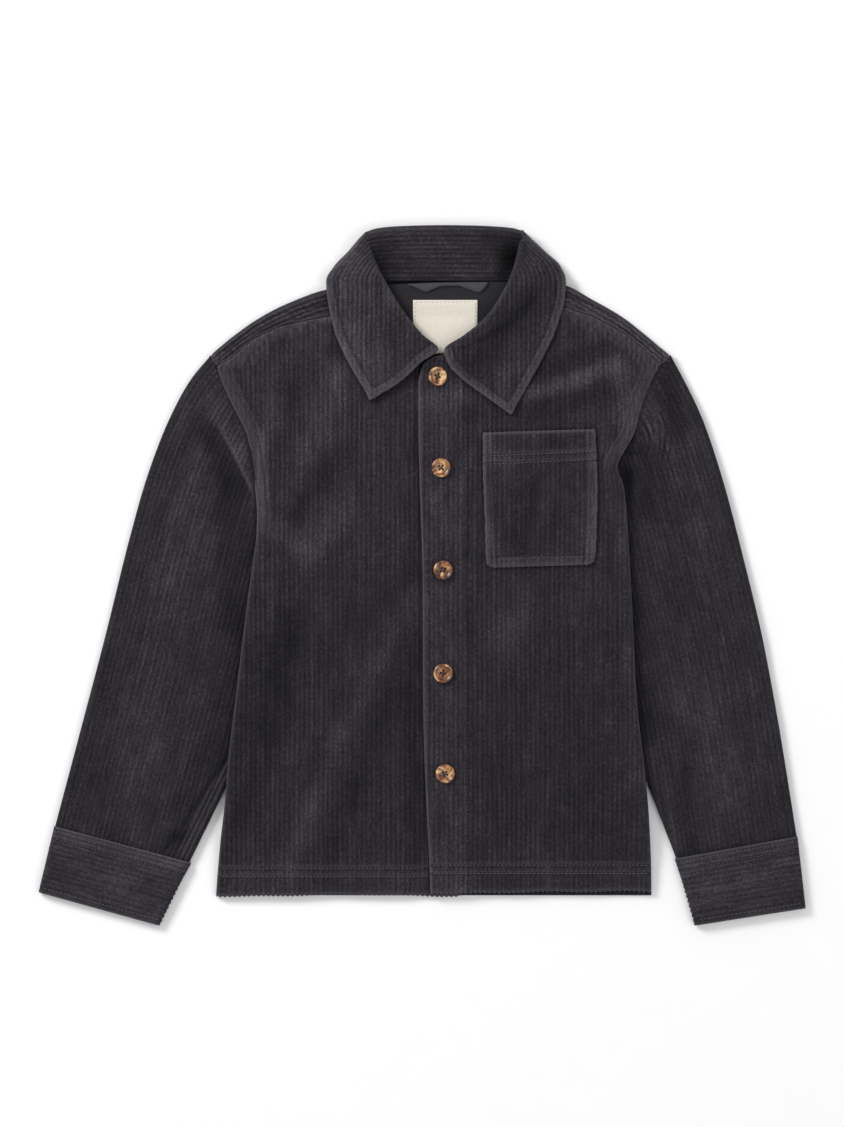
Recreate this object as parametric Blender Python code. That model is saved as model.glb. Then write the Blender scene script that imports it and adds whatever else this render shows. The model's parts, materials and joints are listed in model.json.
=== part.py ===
"""Child's corduroy shirt jacket, buttoned and laid flat with its front up.

Metres, +Z up. The garment lies on z = 0 with its neck toward +Y. Left and right in the names are the
wearer's, so the left front with the pocket lies at +X. Sizes below are real millimetres, turned into
metres when a mesh is made.
"""
import math

import bmesh
import bpy

for old in list(bpy.data.objects):
    bpy.data.objects.remove(old, do_unlink=True)

MM = 0.001
CENTRE_X = -0.1         # middle of the whole outline in the tables below, in millimetres; it is put at 0, 0
CENTRE_Y = 3.0

# Cloth, in millimetres
CLOTH = 1.8             # wall of one layer of corduroy
FACED = 2.6             # wall where the front edge is turned under and stitched down
COLLAR_CLOTH = 1.6      # wall of the collar
CUFF_CLOTH = 2.1        # wall of a cuff, two layers pressed together
PLAIN_CLOTH = 0.8       # plain woven cloth of the inner yoke
WALE_PITCH = 3.75       # one rib of the corduroy and its groove
WALE_RISE = 0.5         # height of a rib over its groove
CLEAR = 0.3             # gap at every seam
SEAM = 0.4              # same gap where two seam edges bend
LOFT = 2.4              # air between two layers of the laid garment
UNDERLAP_LOFT = 0.5     # air under the edge that lies below the placket
RIBS_SHOW_TO = 3.0      # the right front is plain past this place, under the placket

# Heights of the layers, in millimetres
SLEEVE_TOP = CLOTH + LOFT + CLOTH
OVER_SLEEVE = SLEEVE_TOP + WALE_RISE + 0.4
OVER_FALL = COLLAR_CLOTH + 0.5
LIFT_RUN = 26.0         # the body comes down from a sleeve tucked under it over this width
LIFT_LEAD = 7.0         # it starts down this far past the sleeve's fold

# Side edges of the body below the arms
BODY_SIDES = (
    # y, wearer's right edge x, wearer's left edge x
    (-246.0, -161.0, 178.4),
    (-172.0, -153.6, 175.2),
    (-97.0, -146.0, 167.0),
    (-20.0, -136.6, 163.0),
    (34.0, -129.1, 160.0),
)

# Armhole seams, from the underarm point up to the shoulder
UNDERARM_RIGHT = 34.0
UNDERARM_LEFT = 88.0
ARMHOLE_RIGHT = (
    # y, x
    (34.0, -129.1),
    (52.0, -128.6),
    (72.0, -130.4),
    (88.0, -132.8),
    (100.0, -134.6),
    (114.0, -137.4),
    (135.0, -147.6),
    (155.0, -156.6),
    (166.0, -160.6),
    (173.5, -165.4),
)
ARMHOLE_LEFT = (
    # y, x
    (34.0, 160.0),
    (52.0, 158.8),
    (72.0, 156.6),
    (88.0, 151.6),
    (100.0, 157.7),
    (114.0, 164.8),
    (135.0, 170.6),
    (155.0, 178.4),
    (166.0, 184.8),
    (173.5, 193.2),
)

# Shoulder fold of the yoke, which is the outline there, and the seam where the yoke meets the fronts
SHOULDER = (
    # x, y of the fold, y of the front seam
    (-164.2, 175.4, 171.6),
    (-160.6, 178.6, 166.0),
    (-156.6, 182.0, 168.1),
    (-150.6, 187.0, 171.2),
    (-147.6, 189.3, 173.7),
    (-143.9, 192.1, 176.8),
    (-130.4, 201.6, 188.0),
    (-108.6, 213.4, 198.1),
    (-73.4, 225.9, 204.8),
    (-52.0, 229.0, 207.6),
    (-33.0, 231.0, 209.4),
)
SHOULDER_FAR = (
    # x, y of the fold, y of the front seam
    (70.0, 232.4, 213.4),
    (90.0, 231.0, 213.6),
    (110.6, 228.8, 211.8),
    (132.2, 218.0, 204.8),
    (157.4, 203.2, 191.5),
    (168.6, 194.4, 182.7),
    (172.6, 191.2, 179.5),
    (178.4, 186.4, 173.0),
    (184.8, 180.9, 166.0),
    (192.0, 175.2, 172.2),
)
NECK_EDGE = (
    # x, y of the back neckline
    (-24.0, 230.2),
    (0.0, 231.4),
    (20.0, 231.9),
    (42.0, 232.2),
    (60.0, 232.3),
)
BACK_SEAM_Y = 128.0     # yoke seam across the back

# Outline of each front, from the hem up, as its two ends of a row across
RIGHT_FRONT_FREE = (
    # y, x of the free edge, then of the neckline
    (-244.5, 29.0),
    (160.0, 29.0),
    (166.0, 24.0),
    (171.2, 12.0),
    (178.0, -4.0),
    (188.0, -18.0),
    (198.1, -27.0),
    (204.8, -33.0),
    (207.4, -38.0),
)
LEFT_FRONT_FREE = (
    # y, x of the free edge, then of the neckline
    (-242.0, 6.2),
    (-227.0, 5.5),
    (-97.0, 0.5),
    (7.0, 0.0),
    (72.0, -2.2),
    (124.0, -3.3),
    (155.0, -3.2),
    (166.0, -0.8),
    (173.0, 6.0),
    (179.5, 34.0),
    (184.0, 46.0),
    (191.5, 56.0),
    (204.8, 66.0),
    (211.4, 73.0),
)
FACING_WIDTH = 33.5
RIGHT_FRONT_ROWS = (-244.5, -172.0, -135.0, -97.0, -20.0, 34.0, 52.0, 72.0, 100.0, 114.0, 135.0, 155.0,
                    166.0, 171.2, 188.0, 198.1, 204.8, 207.4)
LEFT_FRONT_ROWS = (-242.0, -172.0, -135.0, -97.0, -20.0, 52.0, 72.0, 88.0, 114.0, 135.0, 155.0, 166.0,
                   173.0, 179.5, 191.5, 204.8, 211.4)
BACK_ROWS = (-245.5, -172.0, -135.0, -97.0, -20.0, 34.0, 52.0, 72.0, 88.0, 114.0, 128.0)
LIFT_SHARES = (0.0, 0.2, 0.4, 0.6, 0.8, 1.0)

# Sleeves laid beside the body. A row goes from the outer fold across to the inner fold, and the first row
# is the armhole seam, so it holds only its ends.
SLEEVE_RIGHT = (
    # outer x, outer y, inner x, inner y
    (-165.9, 173.3, -121.0, 14.0),
    (-180.5, 155.6, -124.4, 1.0),
    (-197.4, 124.4, -125.4, -18.0),
    (-215.2, 77.6, -125.6, -40.0),
    (-228.4, 30.8, -126.0, -64.0),
    (-247.8, -47.2, -130.0, -104.0),
    (-264.2, -109.6, -140.0, -135.0),
    (-285.9, -191.6, -181.2, -219.6),
)
SLEEVE_LEFT = (
    # outer x, outer y, inner x, inner y
    (193.8, 173.3, 141.0, 70.0),
    (203.4, 155.6, 142.0, 54.0),
    (218.2, 124.4, 143.0, 34.0),
    (233.8, 77.6, 143.0, 4.0),
    (250.2, 15.2, 143.6, -36.0),
    (265.0, -47.2, 153.0, -97.0),
    (276.7, -109.6, 168.5, -142.0),
    (291.2, -199.4, 197.4, -216.4),
)
SLEEVE_FOLD = 3.2       # half depth of the soft fold along each side of a sleeve
HIDDEN_SEAM_RIGHT = ((-127.0, 23.0),)   # the armhole seam runs on under the body
HIDDEN_SEAM_LEFT = ((147.0, 76.0),)

# Cuffs: outer and inner corners of the seam and of the free edge
CUFF_RIGHT = ((-286.1, -192.2, -181.3, -220.3), (-298.4, -243.8, -205.5, -269.5))
CUFF_LEFT = ((291.4, -200.1, 197.6, -217.1), (297.8, -256.2, 212.6, -269.5))
CUFF_WALES = 14
CUFF_TOP = 7.0

INNER_FOLLOWS = 0.3     # the inner side of a sleeve's wall follows a ridge by this share

# Largest folds of the fronts and sleeves: soft ridges and troughs along a line
FRONT_FOLDS = (
    # x and y of one end, x and y of the other, half width, height
    (-63.0, 95.0, -95.0, 50.0, 13.0, -1.1),
    (-54.0, 78.0, -100.0, 18.0, 13.0, 1.4),
    (-97.0, 140.0, -108.0, 62.0, 14.0, -1.0),
    (-121.0, 118.0, -124.0, 66.0, 9.0, 1.3),
    (86.0, 146.0, 150.0, 178.0, 11.0, 1.4),
    (94.0, 134.0, 146.0, 159.0, 10.0, -1.1),
    (146.0, 118.0, 147.0, 66.0, 9.0, 1.3),
    (-70.0, -120.0, -128.0, -205.0, 18.0, 1.0),
    (80.0, -60.0, 120.0, -190.0, 22.0, 0.9),
)
SLEEVE_FOLDS = (
    # x and y of one end, x and y of the other, half width, height
    (-152.0, 122.0, -141.0, 78.0, 9.0, 1.4),
    (-175.0, 120.0, -196.0, 60.0, 13.0, -1.2),
    (-184.0, -190.0, -168.0, -168.0, 9.0, 1.2),
    (-215.0, -60.0, -245.0, -150.0, 20.0, 1.0),
    (178.0, 142.0, 188.0, 104.0, 9.0, 1.3),
    (198.0, 128.0, 214.0, 76.0, 13.0, -1.2),
    (204.0, -130.0, 236.0, -190.0, 14.0, 1.3),
    (232.0, -20.0, 262.0, -120.0, 20.0, 0.9),
)

# Collar leaves: rows across the page, from the roll, or the front edge below it, to the outer edge
LEAF_RIGHT = (
    # y, x of the roll, x of the outer edge, depth of the stand folded under it, air in the roll
    (146.0, -30.0, -44.2, 0.6, 0.6),
    (153.0, -18.6, -48.4, 0.6, 0.6),
    (161.0, -9.2, -53.2, 0.6, 0.6),
    (169.0, -1.2, -57.8, 0.6, 0.6),
    (179.0, 12.4, -62.7, 3.0, 1.0),
    (190.0, 0.4, -67.5, 10.0, 1.6),
    (204.0, -11.2, -71.2, 14.0, 1.8),
    (218.0, -20.8, -73.9, 15.0, 2.4),
    (232.0, -28.8, -75.0, 14.0, 2.8),
    (244.0, -35.0, -69.2, 10.0, 3.0),
    (256.0, -39.6, -57.9, 6.0, 3.0),
    (267.0, -42.8, -48.4, 1.5, 2.6),
)
LEAF_LEFT = (
    # y, x of the roll, x of the outer edge, depth of the stand folded under it, air in the roll
    (135.0, 59.6, 72.6, 0.6, 0.6),
    (145.0, 45.6, 78.4, 0.6, 0.6),
    (156.0, 30.8, 84.4, 0.6, 0.6),
    (167.0, 20.4, 90.6, 0.6, 0.6),
    (178.5, 16.8, 96.4, 3.0, 1.0),
    (190.0, 32.2, 102.0, 10.0, 1.6),
    (204.0, 48.8, 106.8, 14.0, 1.8),
    (218.0, 59.0, 110.6, 15.0, 2.4),
    (232.0, 66.4, 111.6, 14.0, 2.8),
    (244.0, 71.0, 107.8, 10.0, 3.0),
    (256.0, 74.0, 95.6, 6.0, 3.0),
    (268.5, 76.0, 82.0, 1.5, 2.6),
)
SIDE_FOLD_Y = 236.0     # above this height a leaf rolls down to the ground

# Back of the collar: its section, from the neck seam over the roll to the edge that lies underneath
COLLAR_BACK = (
    # y, z of the outer side
    (232.9, 5.0),
    (240.0, 5.4),
    (249.0, 7.0),
    (257.0, 9.8),
    (264.0, 13.0),
    (268.6, 14.6),
    (272.4, 13.6),
    (274.8, 10.4),
    (275.4, 6.6),
    (274.0, 3.0),
    (270.6, 0.7),
    (266.0, 0.0),
    (250.0, 0.0),
    (224.0, 0.0),
)
COLLAR_TOP = (
    # x, y of the roll, y of the edge underneath
    (-43.6, 270.4, 224.4),
    (-36.0, 272.9, 223.4),
    (-18.0, 274.7, 221.6),
    (16.0, 275.5, 220.6),
    (40.0, 275.2, 221.0),
    (60.0, 274.2, 222.0),
    (70.0, 273.2, 223.4),
    (77.4, 271.2, 224.4),
)
FALL_RIGHT = (
    # x, y of the side fold, y of the edge underneath
    (-74.2, 232.4, 231.0),
    (-68.4, 244.0, 230.2),
    (-57.1, 256.0, 227.4),
    (-48.6, 266.0, 225.0),
)
FALL_LEFT = (
    # x, y of the side fold, y of the edge underneath
    (81.6, 268.0, 224.6),
    (94.8, 256.0, 227.4),
    (107.0, 244.0, 230.2),
    (110.8, 232.4, 231.0),
)

# Buttons
BUTTON_RADIUS = 7.6
BUTTON_HEIGHT = 2.8
BUTTON_RIM = 1.7
BUTTON_DISH = 0.8
HOLE_RADIUS = 0.9
HOLE_SPREAD = 1.9       # from the button's middle to each hole's middle
BUTTON_SPAN = (-6.0, 0.0, 6.0)
BUTTON_SIDES = 16
HOLE_SIDES = 5
BUTTONS = (
    # x, y, turn of the holes in degrees
    (11.3, 158.0, 20.0),
    (14.4, 87.0, 5.0),
    (16.0, 7.4, -12.0),
    (16.0, -72.9, 38.0),
    (17.6, -150.9, 15.0),
)

# Patch pocket
POCKET_CLOTH = 1.6
POCKET = (
    # y, inner edge x, outer edge x
    (10.6, 52.0, 131.6),
    (13.0, 50.0, 133.6),
    (52.0, 48.4, 135.6),
    (72.0, 47.6, 136.0),
    (88.0, 47.0, 135.5),
    (115.4, 46.9, 134.4),
)

# Label and hanger loop
LABEL = (-7.4, 176.0, 42.8, 217.7)
LABEL_CLOTH = 0.4
LOOP_CLOTH = 0.9
LOOP = (
    # x, upper edge y, lower edge y
    (-11.3, 230.3, 229.0),
    (-5.0, 230.6, 226.8),
    (3.0, 231.0, 223.8),
    (9.0, 231.2, 226.2),
    (16.0, 231.3, 228.2),
    (27.0, 231.5, 228.4),
    (36.0, 231.6, 225.6),
    (44.0, 231.7, 223.4),
    (50.8, 231.7, 229.4),
)


# Curves and heights


def eased(t):
    """0 to 1 with a soft start and end."""
    t = min(1.0, max(0.0, t))
    return t * t * (3.0 - 2.0 * t)


def between(table, at, column=1):
    """Value of one column of a table at a place, straight from row to row."""
    if at <= table[0][0]:
        return table[0][column]
    for low, high in zip(table, table[1:]):
        if at <= high[0]:
            share = (at - low[0]) / (high[0] - low[0])
            return low[column] + (high[column] - low[column]) * share
    return table[-1][column]


def fold_height(folds, x, y):
    """Sum of the soft ridges and troughs at a point."""
    total = 0.0
    for x0, y0, x1, y1, half, rise in folds:
        length = math.hypot(x1 - x0, y1 - y0)
        ux = (x1 - x0) / length
        uy = (y1 - y0) / length
        run = (x - x0) * ux + (y - y0) * uy
        off = abs((y - y0) * ux - (x - x0) * uy)
        past = max(0.0, -run, run - length)
        away = math.hypot(off, past * 0.7)
        if away < half:
            total += rise * (0.5 + 0.5 * math.cos(math.pi * away / half))
    return total


TUCK_RIGHT = tuple((row[3], row[2]) for row in reversed(SLEEVE_RIGHT))
TUCK_LEFT = tuple((row[3], row[2]) for row in reversed(SLEEVE_LEFT))


def lift(x, y):
    """Height of the underside of the body's back over the surface that the garment lies on."""
    over_right = eased((between(TUCK_RIGHT, y) + LIFT_LEAD + LIFT_RUN - x) / LIFT_RUN)
    over_right *= 1.0 - eased((y - UNDERARM_RIGHT - 10.0) / 40.0)
    over_left = eased((x - between(TUCK_LEFT, y) + LIFT_LEAD + LIFT_RUN) / LIFT_RUN)
    over_left *= 1.0 - eased((y - UNDERARM_LEFT - 6.0) / 30.0)
    hem = eased((y + 246.0) / 40.0)
    over_fall = eased((y - 203.0) / 14.0) * eased((x + 94.0) / 12.0) * eased((128.0 - x) / 12.0)
    return OVER_SLEEVE * (over_right + over_left) * hem + OVER_FALL * over_fall


def lap_loft(y):
    """Air under the right front's edge: it rises toward the neck, over the inner yoke."""
    low = UNDERLAP_LOFT + 1.3 * eased((y - 108.0) / 28.0)
    return low + (LOFT - low) * eased((y - 160.0) / 10.0)


def right_front_under(x, y):
    """Underside of the right front."""
    flat = eased((x + 18.0) / 16.0)
    air = LOFT + fold_height(FRONT_FOLDS, x, y)
    return lift(x, y) + CLOTH + air + (lap_loft(y) - air) * flat


def right_front_top(x, y):
    return right_front_under(x, y) + CLOTH


def left_front_under(x, y):
    """Underside of the left front, which laps over the right one."""
    lap = 1.0 - eased((x - 30.0) / 30.0)
    air = LOFT + fold_height(FRONT_FOLDS, x, y)
    over = lap_loft(y) + CLOTH + WALE_RISE + 0.4
    return lift(x, y) + CLOTH + air + (over - air) * lap


def left_front_wall(x, y):
    """Thickness of the left front: its edge is faced."""
    return CLOTH + (FACED - CLOTH) * (1.0 - eased((x - FACING_WIDTH) / 4.0))


def left_front_top(x, y):
    """Upper side of the left front without its ribs."""
    return left_front_under(x, y) + left_front_wall(x, y)


def laid_left_front(x, y):
    """Upper side of the left front as its rows lie, straight from row to row."""
    for low, high in zip(LEFT_FRONT_ROWS, LEFT_FRONT_ROWS[1:]):
        if y <= high:
            share = (y - low) / (high - low)
            return left_front_top(x, low) * (1.0 - share) + left_front_top(x, high) * share
    return left_front_top(x, y)


def front_top(x, y):
    """Upper side of whichever front lies on top."""
    share = eased((x + 14.0) / 10.0)
    return right_front_top(x, y) * (1.0 - share) + left_front_top(x, y) * share


# Thin walls from rows of points


def rib_stops(low, high, margin=0.9):
    """Places of grooves and crests between two edges, as (place, rise)."""
    half = WALE_PITCH / 2.0
    first = math.ceil((low + margin) / half)
    last = math.floor((high - margin) / half)
    return [(k * half, WALE_RISE if k % 2 else 0.0) for k in range(first, last + 1)]


def even_stops(low, high, step):
    """Plain places between two edges, the edges left out."""
    count = max(1, round((high - low) / step))
    return [(low + (high - low) * k / count, 0.0) for k in range(1, count)]


def turned(run):
    """A run of (key, point) the other way round, its keys still rising."""
    return [(-key, point) for key, point in reversed(run)]


def lay_row(points, row):
    """Adds a row's points. A row is a list of segments, a segment a list of (key, point), and each
    segment starts at the last point of the one before. Returns (keys, numbers) of each segment."""
    laid = []
    last = None
    for segment in row:
        keys = []
        numbers = []
        for key, point in segment:
            keys.append(key)
            if last is not None and not numbers:
                numbers.append(last)
            else:
                points.append(point)
                numbers.append(len(points) - 1)
        last = numbers[-1]
        laid.append((keys, numbers))
    return laid


def zip_runs(faces, one, two):
    """Joins two runs of points with triangles, matched by their keys."""
    keys_a, a = one
    keys_b, b = two
    i = 0
    j = 0
    while i < len(a) - 1 or j < len(b) - 1:
        if j == len(b) - 1:
            step_a = True
        elif i == len(a) - 1:
            step_a = False
        else:
            step_a = keys_a[i + 1] + keys_a[i] <= keys_b[j + 1] + keys_b[j]
        if step_a:
            face = (a[i], a[i + 1], b[j])
            i += 1
        else:
            face = (a[i], b[j + 1], b[j])
            j += 1
        if len(set(face)) == 3:
            faces.append(face)


def close_edge(faces, outer, inner):
    """Joins the edges of the two sides of a wall, segment by segment."""
    for runs in zip(outer, inner):
        even = []
        for keys, numbers in runs:
            span = keys[-1] - keys[0]
            even.append(([(key - keys[0]) / span for key in keys], numbers))
        zip_runs(faces, *even)


def zip_rows(faces, laid):
    """Joins neighbouring rows over the segments that both have."""
    for one, two in zip(laid, laid[1:]):
        for a, b in zip(one, two):
            zip_runs(faces, a, b)


def make_object(name, points, faces, material):
    """A closed mesh in metres, its faces pointing out."""
    mesh = bpy.data.meshes.new(name)
    placed = [((x - CENTRE_X) * MM, (y - CENTRE_Y) * MM, z * MM) for x, y, z in points]
    mesh.from_pydata(placed, [], faces)
    mesh.update()
    bm = bmesh.new()
    bm.from_mesh(mesh)
    bmesh.ops.recalc_face_normals(bm, faces=bm.faces)
    bm.to_mesh(mesh)
    bm.free()
    mesh.shade_smooth()
    mesh.set_sharp_from_angle(angle=math.radians(60.0))
    mesh.materials.append(material)
    obj = bpy.data.objects.new(name, mesh)
    bpy.context.scene.collection.objects.link(obj)
    return obj


def open_wall(name, material, outer_rows, inner_rows):
    """A wall with free edges all round. A row that ends in fewer segments than its neighbour leaves the
    neighbour's last ones with a free edge there."""
    points = []
    faces = []
    outer = [lay_row(points, row) for row in outer_rows]
    inner = [lay_row(points, row) for row in inner_rows]
    zip_rows(faces, outer)
    zip_rows(faces, inner)
    close_edge(faces, outer[0], inner[0])
    close_edge(faces, outer[-1], inner[-1])
    for k in range(len(outer) - 1):
        common = min(len(outer[k]), len(outer[k + 1]))
        for whole in (k, k + 1):
            if len(outer[whole]) > common:
                close_edge(faces, outer[whole][common:], inner[whole][common:])
        starts = [rows[i][0][1][0] for rows, i in ((outer, k), (outer, k + 1), (inner, k + 1), (inner, k))]
        ends = [rows[i][common - 1][1][-1] for rows, i in ((outer, k), (outer, k + 1), (inner, k + 1), (inner, k))]
        faces.append(tuple(starts))
        faces.append(tuple(ends))
    return make_object(name, points, faces, material)


def ring_wall(name, material, outer_rows, inner_rows):
    """A tube wall with two open ends. The last segment of a row runs back to its first point."""
    points = []
    faces = []
    sides = []
    for rows in (outer_rows, inner_rows):
        laid = []
        for row in rows:
            segments = lay_row(points, row)
            keys, numbers = segments[-1]
            numbers.append(segments[0][1][0])
            keys.append(keys[-1] + 1.0)
            laid.append(segments)
        zip_rows(faces, laid)
        sides.append(laid)
    outer, inner = sides
    close_edge(faces, outer[0], inner[0])
    close_edge(faces, outer[-1], inner[-1])
    return make_object(name, points, faces, material)


# Materials


def paint(name, colour, roughness):
    """A plain Principled material."""
    material = bpy.data.materials.new(name)
    material.use_nodes = True
    shader = material.node_tree.nodes["Principled BSDF"]
    shader.inputs["Base Color"].default_value = (*colour, 1.0)
    shader.inputs["Roughness"].default_value = roughness
    shader.inputs["Metallic"].default_value = 0.0
    return material


def corduroy(name):
    return paint("corduroy_" + name, (0.037, 0.034, 0.042), 0.92)


def plain_cloth(name):
    return paint("plain_" + name, (0.050, 0.047, 0.053), 0.85)


# Body


EDGE_SHARES = (0.0, 0.45, 0.8, 1.0)


def panel_edge(x_edge, way, y, rolled, drop, surface, wall, outer):
    """Edge of a panel up to its flat part, as points. rolled is 0 at a seam and 1 where the edge rolls
    down by the drop; way is 1 where the panel lies on the +X side of the edge."""
    width = 1.3 + 2.9 * rolled
    x_flat = x_edge + way * width
    z_flat = surface(x_flat, y)
    if outer:
        inset = 0.0
        fall = wall * 0.5 * (1.0 - rolled) + drop * rolled
    else:
        inset = wall * rolled
        fall = (drop - wall) * rolled
    points = []
    for number, share in enumerate(EDGE_SHARES):
        turn = math.pi / 2.0 * share
        x = x_edge + way * (inset + (width - inset) * (1.0 - math.cos(turn)))
        points.append((float(number), (x, y, z_flat - fall * (1.0 - math.sin(turn)))))
    return points, x_flat


def panel_rows(ys, ends, rolls, drops, top, under, step, rib_end=1000.0):
    """Outer rows with ribs and plain inner rows of a panel whose wales run along Y. Past rib_end it is
    covered, and plain."""
    outer_rows = []
    inner_rows = []
    for y in ys:
        x_low, x_high = ends(y)
        roll_low, roll_high = rolls(y)
        wall_low = top(x_low, y) - under(x_low, y)
        wall_high = top(x_high, y) - under(x_high, y)
        drop_low, drop_high = drops(x_low, x_high, y)
        for rows, surface, outer in ((outer_rows, top, True), (inner_rows, under, False)):
            low, a = panel_edge(x_low, 1.0, y, roll_low, drop_low, surface, wall_low, outer)
            high, b = panel_edge(x_high, -1.0, y, roll_high, drop_high, surface, wall_high, outer)
            if outer:
                stops = rib_stops(a, min(b, rib_end))
                if b > rib_end:
                    stops += even_stops(rib_end, b, 7.0)
            else:
                stops = even_stops(a, b, step)
            flat = [(a, low[-1][1])]
            flat += [(x, (x, y, surface(x, y) + rise)) for x, rise in stops]
            flat.append((b, high[-1][1]))
            rows.append([low, flat, turned(high)])
    return outer_rows, inner_rows


def seat_drop(x_edge, y, x_flat, top):
    """How far an edge rolls down to lie on the back."""
    return top(x_flat, y) - (lift(x_edge, y) + CLOTH + CLEAR)


SEAM_RIGHT = tuple((row[2], row[0]) for row in SHOULDER if row[0] > -161.0)
SEAM_LEFT = tuple((row[2], row[0]) for row in reversed(SHOULDER_FAR) if 100.0 < row[0] < 186.0)


def right_front_ends(y):
    if y <= UNDERARM_RIGHT:
        low = between(BODY_SIDES, y, 1)
    elif y <= 166.0:
        low = between(ARMHOLE_RIGHT, y)
    else:
        low = between(SEAM_RIGHT, y)
    return low, between(RIGHT_FRONT_FREE, y)


def left_front_ends(y):
    if y <= 34.0:
        high = between(BODY_SIDES, y, 2)
    elif y <= 166.0:
        high = between(ARMHOLE_LEFT, y)
    else:
        high = between(SEAM_LEFT, y)
    return between(LEFT_FRONT_FREE, y), high


def build_fronts():
    def right_drops(x_low, x_high, y):
        return seat_drop(x_low, y, x_low + 4.2, right_front_top), CLOTH

    def left_drops(x_low, x_high, y):
        return FACED, seat_drop(x_high, y, x_high - 4.2, left_front_top)

    outer, inner = panel_rows(
        RIGHT_FRONT_ROWS, right_front_ends,
        lambda y: (1.0 - eased((y - UNDERARM_RIGHT) / 30.0), 0.0),
        right_drops, right_front_top, right_front_under, 11.0, RIBS_SHOW_TO)
    open_wall("front_right", corduroy("front_right"), outer, inner)
    outer, inner = panel_rows(
        LEFT_FRONT_ROWS, left_front_ends,
        lambda y: (0.0, 1.0 - eased((y - UNDERARM_LEFT) / 20.0)),
        left_drops, left_front_top, left_front_under, 11.0)
    open_wall("front_left", corduroy("front_left"), outer, inner)


def back_ends(y):
    if y <= UNDERARM_RIGHT:
        low = between(BODY_SIDES, y, 1)
    else:
        low = between(ARMHOLE_RIGHT, y)
    if y <= 34.0:
        high = between(BODY_SIDES, y, 2)
    else:
        high = between(ARMHOLE_LEFT, y)
    return low, high


def build_back():
    """The back rests on the ground, with its underside plain there."""
    outer_rows = []
    inner_rows = []
    for y in BACK_ROWS:
        low, high = back_ends(y)
        foot_low = between(TUCK_RIGHT, y) + LIFT_LEAD
        foot_high = between(TUCK_LEFT, y) - LIFT_LEAD
        stops = [low]
        stops += [max(low + 1.5 * (k + 1), foot_low + LIFT_RUN * s) for k, s in enumerate(LIFT_SHARES)]
        stops += [-30.0, 20.0, 60.0]
        stops += sorted(min(high - 1.5 * (k + 1), foot_high - LIFT_RUN * s) for k, s in enumerate(LIFT_SHARES))
        stops.append(high)
        outer_rows.append([[(float(k), (x, y, lift(x, y))) for k, x in enumerate(stops)]])
        inner_rows.append([[(float(k), (x, y, lift(x, y) + CLOTH)) for k, x in enumerate(stops)]])
    open_wall("back", corduroy("back"), outer_rows, inner_rows)


def yoke_row(x, low, fold, seam, outer):
    """A row of the yoke from the back seam, over the shoulder fold, to the front seam."""
    inset = 0.0 if outer else CLOTH
    start = low + CLEAR
    depth = min(SLEEVE_FOLD, (fold - start) * 0.5)
    y_fold = fold - depth
    under = [(y, (x, y, lift(x, y) + inset)) for y in yoke_stops(start, y_fold)]
    z_low = lift(x, y_fold)
    z_high = z_low + CLOTH + LOFT + CLOTH
    middle = (z_low + z_high) / 2.0
    half = (z_high - z_low) / 2.0 - inset
    reach = max(depth - inset, depth * 0.4)
    arc = [(0.0, under[-1][1])]
    for number, turn in enumerate((-55.0, -15.0, 25.0, 60.0)):
        a = math.radians(turn)
        arc.append((number + 1.0, (x, y_fold + reach * math.cos(a), middle + half * math.sin(a))))
    arc.append((5.0, (x, y_fold, z_high - inset)))
    end = seam + SEAM
    flat = [(0.0, arc[-1][1])]
    length = y_fold - end
    stops = rib_stops(0.0, length) if outer else even_stops(0.0, length, 9.0)
    for along, rise in stops:
        y = y_fold - along
        z = z_high + (lift(x, y) - z_low) - inset
        flat.append((along, (x, y, z + rise)))
    z_end = z_high + (lift(x, end) - z_low) - inset
    flat.append((length, (x, end, z_end)))
    return [under, arc, flat]


def yoke_stops(start, end):
    """Places across the yoke's lower layer. The last ones follow the rise over the collar."""
    if end - start < 30.0:
        return (start, (start + end) / 2.0, end)
    marks = [start, 150.0, 175.0, 200.0, 208.0, 214.0]
    last = [y for y in marks if start <= y < end - 1.0]
    while len(last) < 6:
        last.append((last[-1] + end) / 2.0)
    return last + [end]


def yoke_low(x):
    """Lower end of the yoke's under layer: the back seam, or the armhole near the shoulder."""
    for table, sign in ((ARMHOLE_RIGHT, -1.0), (ARMHOLE_LEFT, 1.0)):
        edge = tuple((sign * row[1], row[0]) for row in table[4:])
        if sign * x > edge[0][0]:
            return max(BACK_SEAM_Y, between(edge, sign * x))
    return BACK_SEAM_Y


def build_yoke():
    outer_rows = []
    inner_rows = []
    for rows, outer in ((outer_rows, True), (inner_rows, False)):
        for x, fold, seam in SHOULDER:
            rows.append(yoke_row(x, yoke_low(x), fold, seam, outer))
        for x, edge in NECK_EDGE:
            inset = 0.0 if outer else CLOTH
            rows.append([[(y, (x, y, lift(x, y) + inset)) for y in yoke_stops(BACK_SEAM_Y + CLEAR, edge)]])
        for x, fold, seam in SHOULDER_FAR:
            rows.append(yoke_row(x, yoke_low(x), fold, seam, outer))
    open_wall("yoke", corduroy("yoke"), outer_rows, inner_rows)


def build_inner_yoke():
    """Plain inner layer of the yoke, from the neckline down."""
    outer_rows = []
    inner_rows = []
    for x in (-30.0, -24.0, 0.0, 20.0, 42.0, 60.0, 66.0):
        edge = between(NECK_EDGE, x) - 0.2
        low = []
        high = []
        for y in (152.0, 190.0, 204.0, 210.0, 216.0, 222.0, edge):
            z = lift(x, y) + CLOTH + CLEAR
            low.append((y, (x, y, z)))
            high.append((y, (x, y, z + PLAIN_CLOTH)))
        outer_rows.append([low])
        inner_rows.append([high])
    open_wall("inner_yoke", plain_cloth("inner_yoke"), outer_rows, inner_rows)


def over_inner_yoke(x, y):
    return lift(x, y) + CLOTH + CLEAR + PLAIN_CLOTH + CLEAR


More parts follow.
